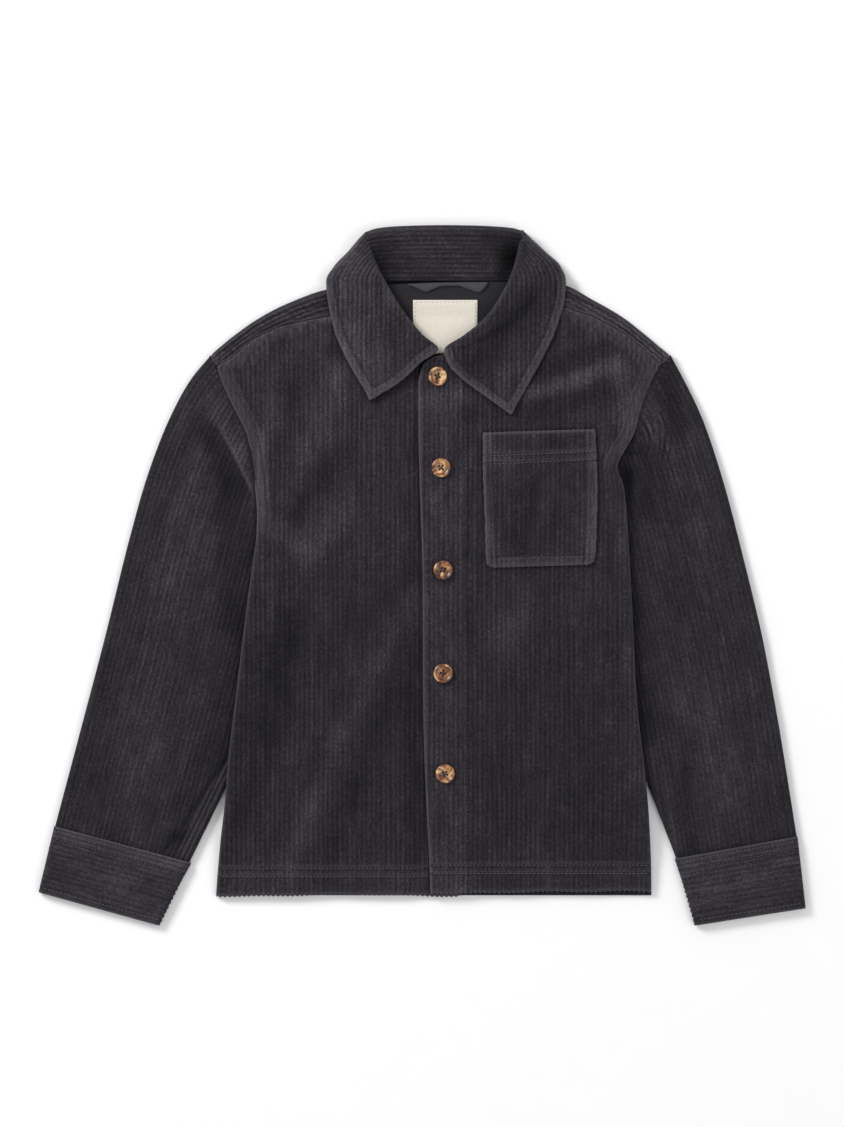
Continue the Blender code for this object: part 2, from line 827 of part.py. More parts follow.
def build_label():
    x0, y0, x1, y1 = LABEL
    outer_rows = []
    inner_rows = []
    for x in (x0, (x0 + x1) / 2.0, x1):
        places = (y0, 190.0, 204.0, 210.0, 216.0, y1)
        outer_rows.append([[(y, (x, y, over_inner_yoke(x, y))) for y in places]])
        inner_rows.append([[(y, (x, y, over_inner_yoke(x, y) + LABEL_CLOTH)) for y in places]])
    open_wall("label", paint("label_cloth", (0.72, 0.66, 0.56), 0.8), outer_rows, inner_rows)


def build_loop():
    """Tape loop caught in the neck seam. It bellies up a little in the middle of its width."""
    outer_rows = []
    inner_rows = []
    for x, high, low in LOOP:
        base = over_inner_yoke(x, high)
        profile = ((low, 0.3), (low + (high - low) * 0.5, 0.7), (high, 0.2))
        outer_rows.append([[(y, (x, y, base + z)) for y, z in profile]])
        inner_rows.append([[(y, (x, y, base + z + LOOP_CLOTH)) for y, z in profile]])
    open_wall("hanger_loop", paint("loop_tape", (0.080, 0.083, 0.095), 0.6), outer_rows, inner_rows)


# Pocket


def build_pocket():
    """Patch on the left front, made from that panel's own height."""
    outer_rows = []
    inner_rows = []
    for y, x0, x1 in POCKET:
        mouth = 0.8 * eased((y - 84.0) / 30.0)
        for rows, outer in ((outer_rows, True), (inner_rows, False)):
            lift_off = WALE_RISE + CLEAR + (POCKET_CLOTH if outer else 0.0)
            stops = rib_stops(x0, x1) if outer else even_stops(x0, x1, 5.0)
            run = []
            for x, rise in [(x0, -0.4 if outer else 0.0)] + stops + [(x1, -0.4 if outer else 0.0)]:
                belly = mouth * math.sin(math.pi * (x - x0) / (x1 - x0))
                run.append((x, (x, y, laid_left_front(x, y) + lift_off + rise + belly)))
            rows.append([run])
    open_wall("pocket", corduroy("pocket"), outer_rows, inner_rows)


# Sleeves and cuffs


def sleeve_line(nodes):
    """Lengths along a line of points, and the points."""
    places = [0.0]
    for a, b in zip(nodes, nodes[1:]):
        places.append(places[-1] + math.hypot(b[0] - a[0], b[1] - a[1]))
    return places, nodes


def on_line(line, at):
    """Point at a length along a line of points."""
    places, nodes = line
    for k in range(len(nodes) - 1):
        if at <= places[k + 1] or k == len(nodes) - 2:
            share = (at - places[k]) / (places[k + 1] - places[k])
            return (nodes[k][0] + (nodes[k + 1][0] - nodes[k][0]) * share,
                    nodes[k][1] + (nodes[k + 1][1] - nodes[k][1]) * share)
    return nodes[-1]


def tube_row(line, shares, wall, top_height, puff, outer, wale_rise=None):
    """One ring of a laid tube: its lower layer, outer fold, upper layer and inner fold."""
    length = line[0][-1]
    depth = SLEEVE_FOLD
    inset = 0.0 if outer else wall
    reach = depth - inset

    def ring_top(at):
        x, y = on_line(line, at)
        rise = puff(x, y)
        if not outer:
            rise = min(0.0, rise) + INNER_FOLLOWS * max(0.0, rise)
        return top_height + rise

    def arc(at, way):
        """Points of a side fold from its lower to its upper end."""
        height = ring_top(at)
        half = height / 2.0 - inset
        points = []
        for number, turn in enumerate((-90.0, -45.0, 0.0, 45.0, 90.0)):
            a = math.radians(turn)
            x, y = on_line(line, at + way * reach * math.cos(a))
            points.append((float(number), (x, y, height / 2.0 + half * math.sin(a))))
        return points

    low_at = depth
    high_at = length - depth
    out_fold = arc(low_at, -1.0)
    in_fold = arc(high_at, 1.0)
    inside = [share for share in shares if low_at + 1.0 < share * length < high_at - 1.0]
    lower = [(0.0, in_fold[0][1])]
    for share in reversed(inside):
        x, y = on_line(line, share * length)
        lower.append((1.0 - share, (x, y, inset)))
    lower.append((1.0, out_fold[0][1]))
    if wale_rise is not None:
        stops = [(at, at, min(rise, wale_rise)) for at, rise in rib_stops(low_at, high_at)]
        ends = (low_at, high_at)
    else:
        stops = [(share, share * length, 0.0) for share in inside]
        ends = (0.0, 1.0)
    upper = [(ends[0], out_fold[-1][1])]
    for key, at, rise in stops:
        x, y = on_line(line, at)
        upper.append((key, (x, y, ring_top(at) + rise - inset)))
    upper.append((ends[1], in_fold[-1][1]))
    return [lower, out_fold, upper, turned(in_fold)[:-1]]


def build_sleeve(name, table, armhole, underarm, hidden, shift):
    """A sleeve laid flat. Its first row follows the armhole seam, a gap away from it."""
    outer_x, outer_y, inner_x, inner_y = table[0]
    seam = [(outer_x, outer_y)]
    seam += [(x + shift, y) for y, x in reversed(armhole) if underarm <= y < outer_y - 2.0]
    seam += hidden
    seam.append((inner_x, inner_y))
    lines = [sleeve_line(seam)]
    for ox, oy, ix, iy in table[1:]:
        lines.append(sleeve_line([(ox, oy), (ix, iy)]))
    shares = [place / lines[0][0][-1] for place in lines[0][0]]

    def puff(x, y):
        return fold_height(SLEEVE_FOLDS, x, y)

    outer_rows = []
    inner_rows = []
    for number, line in enumerate(lines):
        rise = WALE_RISE if 0 < number < len(lines) - 1 else 0.0
        outer_rows.append(tube_row(line, shares, CLOTH, SLEEVE_TOP, puff, True, rise))
        inner_rows.append(tube_row(line, shares, CLOTH, SLEEVE_TOP, puff, False))
    ring_wall(name, corduroy(name), outer_rows, inner_rows)


def build_cuff(name, corners):
    """A cuff laid flat, with its wales running round it."""
    (ax, ay, bx, by), (cx, cy, dx, dy) = corners
    rows = CUFF_WALES * 2
    outer_rows = []
    inner_rows = []

    def no_puff(x, y):
        return 0.0

    for k in range(rows + 1):
        share = k / rows
        raised = WALE_RISE if k % 2 else 0.0
        one = (ax + (cx - ax) * share, ay + (cy - ay) * share)
        two = (bx + (dx - bx) * share, by + (dy - by) * share)
        length = math.hypot(two[0] - one[0], two[1] - one[1])
        ux = (two[0] - one[0]) / length
        uy = (two[1] - one[1]) / length
        wide_one = (one[0] - ux * raised, one[1] - uy * raised)
        wide_two = (two[0] + ux * raised, two[1] + uy * raised)
        line = sleeve_line([wide_one, wide_two])
        outer_rows.append(tube_row(line, (), CUFF_CLOTH, CUFF_TOP + raised, no_puff, True))
        if k % 14 == 0:
            line = sleeve_line([one, two])
            inner_rows.append(tube_row(line, (), CUFF_CLOTH, CUFF_TOP, no_puff, False))
    ring_wall(name, corduroy(name), outer_rows, inner_rows)


# Collar


def leaf_rows(table, way):
    """Rows of a collar leaf. way is -1 where the leaf runs outward to -X."""
    outer_rows = []
    inner_rows = []
    wall = COLLAR_CLOTH
    for y, roll_x, edge_x, tuck, air in table:
        down = eased((y - SIDE_FOLD_Y) / 8.0)
        width = abs(edge_x - roll_x)
        radius = (2.0 * wall + air) / 2.0

        def base(off):
            """Height of what the leaf lies on, this far out from the roll."""
            x = roll_x + way * off
            return front_top(x, min(y, 226.0)) + WALE_RISE + 0.4

        def leaf_top(off):
            over = 1.0 - eased((off - tuck - 4.0) / 12.0)
            return base(off) + wall + (wall + air) * over

        for rows, outer in ((outer_rows, True), (inner_rows, False)):
            inset = 0.0 if outer else wall
            centre = min(radius, width * 0.3)
            reach = centre if outer else min(air / 2.0, centre * 0.4)
            bend = []
            foot = base(centre) + inset
            head = leaf_top(centre) - inset
            for number, turn in enumerate((-90.0, -40.0, 0.0, 40.0, 90.0)):
                a = math.radians(turn)
                off = centre - reach * math.cos(a)
                z = (foot + head) / 2.0 + (head - foot) / 2.0 * math.sin(a)
                bend.append((float(number), (roll_x + way * off, y, z)))
            stand_end = min(tuck + centre, width - 3.0)
            stand = [
                (0.0, (roll_x + way * stand_end, y, base(stand_end) + inset)),
                (1.0, bend[0][1]),
            ]
            edge_width = min(1.2 + 3.4 * down, width * 0.5)
            flat_end = width - edge_width
            z_flat = leaf_top(flat_end) - inset
            top = [(centre, bend[-1][1])]
            if outer:
                first = roll_x + way * centre
                last = roll_x + way * flat_end
                for x, rise in rib_stops(min(first, last), max(first, last)):
                    off = abs(x - roll_x)
                    top.append((off, (x, y, leaf_top(off) + rise)))
                top[1:] = sorted(top[1:])
            else:
                for off, rise in even_stops(centre, flat_end, 8.0):
                    top.append((off, (roll_x + way * off, y, leaf_top(off) - inset)))
            top.append((flat_end, (roll_x + way * flat_end, y, z_flat)))
            fall_outer = (1.0 - down) * wall * 0.5 + down * (leaf_top(flat_end) - 0.5)
            fall_inner = down * (leaf_top(flat_end) - wall - 0.5)
            edge = []
            for number, share in enumerate((1.0, 0.75, 0.4, 0.0)):
                turn = math.pi / 2.0 * share
                side = 0.0 if outer else wall * down
                off = width - side - (edge_width - side) * (1.0 - math.cos(turn))
                z = z_flat - (fall_outer if outer else fall_inner) * (1.0 - math.sin(turn))
                edge.append((float(number), (roll_x + way * off, y, z)))
            edge[0] = (0.0, top[-1][1])
            keyed = [(way * (roll_x + way * off), point) for off, point in top]
            rows.append([stand, bend, keyed, edge])
    return outer_rows, inner_rows


def back_collar_rows():
    """Rows of the collar's back: the stand, the roll and the fall that lies underneath."""
    outer_rows = []
    inner_rows = []
    path = [COLLAR_BACK[0]]
    ribs = [0.0]
    for (y0, z0), (y1, z1) in zip(COLLAR_BACK, COLLAR_BACK[1:]):
        length = math.hypot(y1 - y0, z1 - z0)
        count = max(1, round(length / (WALE_PITCH / 2.0))) if len(path) < 20 else 1
        for k in range(1, count + 1):
            path.append((y0 + (y1 - y0) * k / count, z0 + (z1 - z0) * k / count))
            ribs.append(WALE_RISE if len(path) % 2 == 0 and len(path) < 20 else 0.0)
    normals = []
    for k in range(len(path)):
        a = path[max(0, k - 1)]
        b = path[min(len(path) - 1, k + 1)]
        length = math.hypot(b[0] - a[0], b[1] - a[1])
        normals.append((-(b[1] - a[1]) / length, (b[0] - a[0]) / length))
    roll_count = len(path) - 3
    neck_y = COLLAR_BACK[0][0]
    full = COLLAR_BACK[8][0] - neck_y

    def fall_row(x, high, low, outer):
        run = [(0.0, (x, low, 0.0 if outer else COLLAR_CLOTH))]
        run.append((1.0, (x, (high + low) / 2.0, run[0][1][2])))
        run.append((2.0, (x, high, run[0][1][2])))
        return [run]

    for rows, outer in ((outer_rows, True), (inner_rows, False)):
        for x, high, low in FALL_RIGHT:
            rows.append(fall_row(x, high, low, outer))
        for x, roll_y, low in COLLAR_TOP:
            stretch = (roll_y - neck_y) / full
            row = fall_row(x, neck_y + (COLLAR_BACK[11][0] - neck_y) * stretch, low, outer)
            run = [(0.0, row[0][-1][1])]
            for k in range(roll_count - 1, -1, -1):
                (py, pz), (ny, nz) = path[k], normals[k]
                move = ribs[k] if outer else -COLLAR_CLOTH
                if not outer and k % 3 and k < 20:
                    continue
                y = neck_y + (py - neck_y + ny * move) * stretch
                z = pz + nz * move
                run.append((float(roll_count - k), (x, y, z)))
            rows.append([row[0], run])
        for x, high, low in FALL_LEFT:
            rows.append(fall_row(x, high, low, outer))
    return outer_rows, inner_rows


def build_collar():
    """One piece: the back and both leaves are joined."""
    material = corduroy("collar")
    outer, inner = back_collar_rows()
    collar = open_wall("collar", material, outer, inner)
    for name, table, way in (("leaf_right", LEAF_RIGHT, -1.0), ("leaf_left", LEAF_LEFT, 1.0)):
        outer, inner = leaf_rows(table, way)
        leaf = open_wall(name, material, outer, inner)
        leaf.hide_render = True
        leaf.display_type = "WIRE"
        join = collar.modifiers.new(name, "BOOLEAN")
        join.operation = "UNION"
        join.object = leaf
        join.solver = "EXACT"


# Buttons


def build_button(number, x, y, turn):
    """A turned button with a raised rim, a dished face and four holes."""
    bm = bmesh.new()
    inner = BUTTON_RADIUS - BUTTON_RIM
    profile = (
        # radius, z
        (BUTTON_RADIUS - 1.4, 0.0),
        (BUTTON_RADIUS, 1.2),
        (BUTTON_RADIUS - 0.25, BUTTON_HEIGHT - 0.5),
        (BUTTON_RADIUS - 1.0, BUTTON_HEIGHT),
        (inner, BUTTON_HEIGHT - 0.3),
        (inner - 1.2, BUTTON_HEIGHT - BUTTON_DISH),
    )
    rings = []
    for radius, z in profile:
        ring = []
        for k in range(BUTTON_SIDES):
            a = 2.0 * math.pi * k / BUTTON_SIDES
            ring.append(bm.verts.new((radius * math.cos(a) * MM, radius * math.sin(a) * MM, z * MM)))
        rings.append(ring)
    for low, high in zip(rings, rings[1:]):
        for k in range(BUTTON_SIDES):
            n = (k + 1) % BUTTON_SIDES
            bm.faces.new((low[k], low[n], high[n], high[k]))
    floor = []
    face = []
    for quarter in range(4):
        a = math.pi / 4.0 + quarter * math.pi / 2.0
        hx = HOLE_SPREAD * math.cos(a)
        hy = HOLE_SPREAD * math.sin(a)
        low = []
        high = []
        for k in range(HOLE_SIDES):
            b = 2.0 * math.pi * k / HOLE_SIDES
            px = (hx + HOLE_RADIUS * math.cos(b)) * MM
            py = (hy + HOLE_RADIUS * math.sin(b)) * MM
            low.append(bm.verts.new((px, py, 0.0)))
            high.append(bm.verts.new((px, py, (BUTTON_HEIGHT - BUTTON_DISH) * MM)))
        for k in range(HOLE_SIDES):
            n = (k + 1) % HOLE_SIDES
            bm.faces.new((low[k], high[k], high[n], low[n]))
        floor.append(low)
        face.append(high)
    for ring, holes in ((rings[0], floor), (rings[-1], face)):
        edges = []
        for loop in [ring] + holes:
            for k in range(len(loop)):
                one = loop[k]
                two = loop[(k + 1) % len(loop)]
                edges.append(bm.edges.get((one, two)) or bm.edges.new((one, two)))
        bmesh.ops.triangle_fill(bm, use_beauty=True, use_dissolve=False, edges=edges)
    bmesh.ops.recalc_face_normals(bm, faces=bm.faces)
    name = "button_%d" % number
    mesh = bpy.data.meshes.new(name)
    bm.to_mesh(mesh)
    bm.free()
    mesh.shade_smooth()
    mesh.set_sharp_from_angle(angle=math.radians(40.0))
    mesh.materials.append(paint("tortoiseshell_%d" % number, (0.25, 0.095, 0.03), 0.22))
    obj = bpy.data.objects.new(name, mesh)
    seat = max(laid_left_front(x + dx, y + dy) for dx in BUTTON_SPAN for dy in BUTTON_SPAN)
    obj.location = ((x - CENTRE_X) * MM, (y - CENTRE_Y) * MM, (seat + WALE_RISE + CLEAR) * MM)
    obj.rotation_euler = (0.0, 0.0, math.radians(turn))
    bpy.context.scene.collection.objects.link(obj)


build_back()
build_yoke()
build_inner_yoke()
build_fronts()
build_pocket()
build_sleeve("sleeve_right", SLEEVE_RIGHT, ARMHOLE_RIGHT, UNDERARM_RIGHT, HIDDEN_SEAM_RIGHT, -SEAM)
build_sleeve("sleeve_left", SLEEVE_LEFT, ARMHOLE_LEFT, UNDERARM_LEFT, HIDDEN_SEAM_LEFT, SEAM)
build_cuff("cuff_right", CUFF_RIGHT)
build_cuff("cuff_left", CUFF_LEFT)
build_collar()
build_label()
build_loop()
for count, (at_x, at_y, spin) in enumerate(BUTTONS):
    build_button(count + 1, at_x, at_y, spin)
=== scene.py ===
"""Looks of the laid corduroy shirt jacket: cloth with its wales, folds, stitches, label and buttons.

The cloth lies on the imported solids. Sizes are millimetres in the garment's own layout, as in the solids,
and become metres in the part's frame when a mesh is made.
"""
import json
import math
import random

import bmesh
import bpy
import numpy as np
from mathutils import Matrix, Vector

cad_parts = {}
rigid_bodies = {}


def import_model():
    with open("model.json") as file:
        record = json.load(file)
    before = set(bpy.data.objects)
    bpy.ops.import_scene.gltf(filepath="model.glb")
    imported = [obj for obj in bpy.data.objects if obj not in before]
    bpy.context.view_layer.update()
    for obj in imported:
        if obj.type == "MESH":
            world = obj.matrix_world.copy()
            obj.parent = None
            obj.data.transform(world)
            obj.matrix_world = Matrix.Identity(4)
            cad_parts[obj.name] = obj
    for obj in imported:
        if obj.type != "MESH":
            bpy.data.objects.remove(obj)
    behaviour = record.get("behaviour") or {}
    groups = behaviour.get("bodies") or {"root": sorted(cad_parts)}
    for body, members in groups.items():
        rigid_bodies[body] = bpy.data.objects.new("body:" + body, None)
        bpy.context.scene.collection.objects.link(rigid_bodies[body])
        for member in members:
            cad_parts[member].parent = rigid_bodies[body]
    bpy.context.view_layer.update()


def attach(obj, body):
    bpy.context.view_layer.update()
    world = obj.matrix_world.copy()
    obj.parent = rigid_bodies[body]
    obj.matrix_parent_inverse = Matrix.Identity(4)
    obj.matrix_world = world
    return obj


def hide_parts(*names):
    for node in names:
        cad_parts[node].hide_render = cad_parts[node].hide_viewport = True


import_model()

MM = 0.001
CENTRE_X = -0.1
CENTRE_Y = 3.0

# Cloth
CLOTH = 1.8             # room of one layer in the solids
THIN = 1.1              # what the cloth itself measures
FACED = 2.6
COLLAR_CLOTH = 1.6
CUFF_TOP = 7.0
PLAIN_CLOTH = 0.8
WALE = 3.75             # one rib and its groove
WALE_RISE = 0.5
WALE_STEPS = 8          # points across one rib
CLEAR = 0.3
SEAM = 0.4
LOFT = 2.4
UNDERLAP_LOFT = 0.5
SLEEVE_TOP = CLOTH + LOFT + CLOTH
OVER_SLEEVE = SLEEVE_TOP + 0.9
OVER_FALL = COLLAR_CLOTH + 0.5
LIFT_RUN = 26.0
LIFT_LEAD = 7.0
UNDERARM_RIGHT = 34.0
UNDERARM_LEFT = 88.0
SIDE_TOP = 34.0                 # where the sides of the body pass into the armholes
SHOULDER_Y = 166.0              # above it the fronts end at the shoulder seams
HEM_BACK = -246.2
HEM_RIGHT = -244.5
HEM_LEFT = -242.0
HEM_ROWS = (13.2, 19.6)         # stitch rows above the hem edge
ARMHOLE_ROWS = (1.9, 8.0)       # stitch rows in from the armhole
ARMHOLE_BAND = 9.6
COLLAR_ROW = 6.8                # stitch row in from the collar's edge
LEAF_TURN = 226.0               # above it the wales of the leaves turn toward the back
CUFF_DEEP = 55.0
CUFF_ROWS = (
    # distance from the sleeve seam, depth of the dent, darkness
    (3.0, 0.35, 0.5),
    (9.5, 0.45, 0.9),
    (50.5, 0.40, 0.7),
)
GATHER_AT = (148.0, 104.0)      # centre of the arcs in which the left sleeve's wales bunch up
STITCH = 2.5                    # length of a stitch that shows
STITCH_STEP = 3.1
FACING_STITCH = ((-240.0, 35.8), (-227.0, 35.5), (-97.0, 34.4), (7.0, 33.6), (124.0, 32.8), (170.0, 32.4))

# Outlines, as y and x pairs unless a heading says otherwise
BODY_SIDES = (
    # y, wearer's right edge x, wearer's left edge x
    (-246.0, -161.0, 178.4),
    (-226.6, -159.5, 178.2),
    (-203.2, -157.2, 177.2),
    (-172.0, -153.6, 175.2),
    (-140.8, -151.2, 172.0),
    (-97.0, -146.0, 167.0),
    (-20.0, -136.6, 163.0),
    (34.0, -129.1, 160.0),
)
ARMHOLE_RIGHT = (
    (34.0, -129.1),
    (52.0, -128.6),
    (72.0, -130.4),
    (88.0, -132.4),
    (100.0, -134.2),
    (114.0, -137.4),
    (135.0, -147.6),
    (155.0, -156.6),
    (166.0, -160.6),
    (173.5, -165.4),
)
ARMHOLE_LEFT = (
    (34.0, 160.0),
    (52.0, 158.8),
    (72.0, 156.6),
    (88.0, 151.6),
    (100.0, 157.0),
    (114.0, 164.8),
    (135.0, 170.6),
    (155.0, 178.4),
    (166.0, 184.8),
    (173.5, 193.2),
)
SHOULDER = (
    # x, y of the fold, y of the front seam
    (-164.2, 175.4, 171.6),
    (-160.6, 178.6, 166.0),
    (-156.6, 182.0, 168.1),
    (-150.6, 187.0, 171.2),
    (-147.6, 189.3, 173.7),
    (-143.9, 192.1, 176.8),
    (-130.4, 201.6, 188.0),
    (-108.6, 213.4, 198.1),
    (-73.4, 225.9, 204.8),
    (-52.0, 229.0, 207.6),
    (-33.0, 231.0, 209.4),
)
SHOULDER_FAR = (
    # x, y of the fold, y of the front seam
    (70.0, 232.4, 213.4),
    (90.0, 231.0, 213.6),
    (110.6, 228.8, 211.8),
    (132.2, 218.0, 204.8),
    (157.4, 203.2, 191.5),
    (168.6, 194.4, 182.7),
    (172.6, 191.2, 179.5),
    (178.4, 186.4, 173.0),
    (184.8, 180.9, 166.0),
    (192.0, 175.2, 172.2),
)
NECK_EDGE = (
    # x, y of the back neckline
    (-33.0, 229.6),
    (-24.0, 230.2),
    (0.0, 231.4),
    (20.0, 231.9),
    (42.0, 232.2),
    (60.0, 232.3),
    (70.0, 232.4),
)
BACK_SEAM_Y = 128.0
RIGHT_FRONT_FREE = (
    (-244.5, 29.0),
    (160.0, 29.0),
    (166.0, 24.0),
    (171.2, 12.0),
    (178.0, -4.0),
    (188.0, -18.0),
    (198.1, -27.0),
    (204.8, -33.0),
    (207.4, -38.0),
)
LEFT_FRONT_FREE = (
    (-242.0, 6.2),
    (-227.0, 5.5),
    (-97.0, 0.5),
    (7.0, 0.0),
    (72.0, -2.2),
    (124.0, -3.3),
    (155.0, -3.2),
    (166.0, -0.8),
    (173.0, 6.0),
    (179.5, 34.0),
    (184.0, 46.0),
    (191.5, 56.0),
    (204.8, 66.0),
    (211.4, 73.0),
)
SLEEVE_RIGHT = (
    # outer x, outer y, inner x, inner y
    (-165.9, 173.3, -121.0, 14.0),
    (-180.5, 155.6, -124.4, 1.0),
    (-197.4, 124.4, -125.4, -18.0),
    (-215.2, 77.6, -125.6, -40.0),
    (-228.4, 30.8, -126.0, -64.0),
    (-247.8, -47.2, -130.0, -104.0),
    (-264.2, -109.6, -140.0, -135.0),
    (-285.9, -191.6, -181.2, -219.6),
)
SLEEVE_LEFT = (
    # outer x, outer y, inner x, inner y
    (193.8, 173.3, 141.0, 70.0),
    (203.4, 155.6, 142.0, 54.0),
    (218.2, 124.4, 143.0, 34.0),
    (233.8, 77.6, 143.0, 4.0),
    (250.2, 15.2, 143.6, -36.0),
    (265.0, -47.2, 153.0, -97.0),
    (276.7, -109.6, 168.5, -142.0),
    (291.2, -199.4, 197.4, -216.4),
)
SLEEVE_FOLD = 3.2
HIDDEN_SEAM_RIGHT = ((-127.0, 23.0),)
HIDDEN_SEAM_LEFT = ((147.0, 76.0),)
CUFF_RIGHT = ((-286.1, -192.2, -181.3, -220.3), (-298.4, -243.8, -205.5, -269.5))
CUFF_LEFT = ((291.4, -200.1, 197.6, -217.1), (297.8, -256.2, 212.6, -269.5))
CUFF_WALES = 14
CUFF_PITCH = CUFF_DEEP / CUFF_WALES

# Soft ridges and troughs: x and y of one end, x and y of the other, half width, height
FRONT_FOLDS = (
    (-63.0, 95.0, -95.0, 50.0, 13.0, -1.1),
    (-54.0, 78.0, -100.0, 18.0, 13.0, 1.4),
    (-97.0, 140.0, -108.0, 62.0, 14.0, -1.0),
    (-121.0, 118.0, -124.0, 66.0, 9.0, 1.3),
    (86.0, 146.0, 150.0, 178.0, 11.0, 1.4),
    (94.0, 134.0, 146.0, 159.0, 10.0, -1.1),
    (146.0, 118.0, 147.0, 66.0, 9.0, 1.3),
    (-70.0, -120.0, -128.0, -205.0, 18.0, 1.0),
    (80.0, -60.0, 120.0, -190.0, 22.0, 0.9),
)
FINE_FRONT_FOLDS = (
    (-77.0, 183.0, -58.0, 180.0, 6.0, -0.9),
    (-80.0, 174.0, -56.0, 172.0, 8.0, 0.7),
    (-113.0, 150.0, -118.0, 108.0, 6.0, -0.6),
    (-70.0, 60.0, -112.0, -20.0, 11.0, -0.6),
    (-40.0, -30.0, -60.0, -150.0, 14.0, 0.5),
    (-100.0, -160.0, -150.0, -235.0, 13.0, -0.6),
    (-30.0, 120.0, -40.0, 40.0, 12.0, 0.5),
    (152.0, 112.0, 153.0, 76.0, 3.2, -0.9),
    (140.0, 110.0, 141.0, 60.0, 4.0, -0.5),
    (112.0, 176.0, 160.0, 190.0, 6.0, 0.5),
    (60.0, 128.0, 84.0, 140.0, 8.0, -0.6),
    (148.0, 30.0, 152.0, -60.0, 9.0, -0.6),
    (60.0, -20.0, 80.0, -150.0, 14.0, -0.6),
    (100.0, -120.0, 150.0, -235.0, 16.0, -0.6),
    (-16.0, -60.0, -20.0, -200.0, 9.0, 0.4),
)
SLEEVE_FOLDS = (
    (-152.0, 122.0, -141.0, 78.0, 9.0, 1.4),
    (-175.0, 120.0, -196.0, 60.0, 13.0, -1.2),
    (-184.0, -190.0, -168.0, -168.0, 9.0, 1.2),
    (-215.0, -60.0, -245.0, -150.0, 20.0, 1.0),
    (178.0, 142.0, 188.0, 104.0, 9.0, 1.3),
    (198.0, 128.0, 214.0, 76.0, 13.0, -1.2),
    (204.0, -130.0, 236.0, -190.0, 14.0, 1.3),
    (232.0, -20.0, 262.0, -120.0, 20.0, 0.9),
)
FINE_SLEEVE_FOLDS = (
    (-150.0, 112.0, -134.0, 62.0, 3.4, -1.1),
    (-146.0, 100.0, -136.0, 70.0, 4.0, 0.8),
    (-160.0, 140.0, -150.0, 112.0, 4.0, -0.6),
    (-186.0, 120.0, -206.0, 50.0, 7.0, 0.7),
    (-196.0, -205.0, -152.0, -140.0, 4.0, -0.9),
    (-206.0, -180.0, -176.0, -130.0, 9.0, 0.7),
    (-236.0, -30.0, -266.0, -150.0, 9.0, -0.5),
    (-190.0, 20.0, -200.0, -80.0, 12.0, 0.6),
    (-150.0, -20.0, -168.0, -110.0, 12.0, -0.5),
    (170.0, 138.0, 181.0, 112.0, 2.6, -0.8),
    (176.0, 140.0, 189.0, 108.0, 2.6, -0.8),
    (182.0, 142.0, 196.0, 106.0, 2.8, -0.8),
    (173.0, 130.0, 184.0, 104.0, 2.4, 0.6),
    (166.0, 104.0, 176.0, 60.0, 5.0, 0.8),
    (176.0, 100.0, 186.0, 40.0, 6.0, -0.7),
    (208.0, -150.0, 246.0, -196.0, 6.0, -0.7),
    (200.0, -176.0, 222.0, -206.0, 6.0, 0.7),
    (214.0, 20.0, 232.0, -80.0, 12.0, 0.6),
    (180.0, -60.0, 196.0, -140.0, 12.0, -0.5),
)

# Where the pile lies lighter or darker, with painted shade in hollows and beside folds and painted light on
# folds: x and y of one end, x and y of the other, half width, strength
BODY_PILE_AND_SHADING = (
    (-64.0, 163.0, -88.0, 103.0, 13.0, 0.65),
    (-60.0, 58.0, -91.0, 22.0, 12.0, 0.80),
    (-91.0, 22.0, -114.0, 41.0, 11.0, 0.75),
    (-57.0, 100.0, -91.0, 63.0, 12.0, -0.65),
    (-105.0, 150.0, -108.0, 80.0, 12.0, -0.35),
    (-118.0, 136.0, -112.0, 124.0, 13.0, 0.55),
    (-124.0, 112.0, -127.0, 56.0, 7.0, 0.85),
    (-100.0, -30.0, -119.0, -118.0, 15.0, -0.65),
    (-7.0, -18.0, -38.0, -68.0, 10.0, 0.50),
    (-38.0, -68.0, -66.0, -124.0, 9.0, 0.50),
    (-66.0, -124.0, -88.0, -180.0, 9.0, 0.50),
    (-88.0, -180.0, -103.0, -226.0, 10.0, 0.55),
    (-11.0, -68.0, -56.0, -168.0, 11.0, -0.40),
    (-56.0, -168.0, -70.0, -214.0, 11.0, -0.35),
    (-9.0, -90.0, -5.0, -220.0, 8.0, -0.60),
    (-130.0, -60.0, -145.0, -170.0, 16.0, -0.30),
    (-90.0, 186.0, -64.0, 190.0, 9.0, 0.35),
    (-72.0, 178.0, -56.0, 176.0, 6.0, -0.55),
    (84.0, 145.0, 122.0, 156.0, 7.5, 1.35),
    (124.0, 157.0, 150.0, 168.0, 7.5, 1.25),
    (156.0, 152.0, 160.0, 126.0, 12.0, 0.95),
    (100.0, 134.0, 146.0, 146.0, 10.0, -0.60),
    (96.0, 162.0, 138.0, 180.0, 10.0, -0.60),
    (132.0, 118.0, 142.0, 60.0, 10.0, 0.20),
    (155.0, 54.0, 159.0, 32.0, 8.0, 0.60),
    (156.0, 20.0, 167.0, -155.0, 7.0, 0.30),
    (52.0, -50.0, 68.0, -38.0, 16.0, 0.30),
    (80.0, -18.0, 66.0, -56.0, 16.0, 0.28),
    (43.0, -18.0, 40.0, -44.0, 12.0, -0.25),
    (110.0, -60.0, 130.0, -220.0, 34.0, -0.22),
    (70.0, -90.0, 60.0, -220.0, 24.0, -0.20),
    (40.0, 131.0, 92.0, 126.0, 10.0, -0.35),
    (2.0, 140.0, 34.0, 142.0, 11.0, 0.55),
    (16.0, -216.0, 26.0, -236.0, 20.0, 0.45),
)
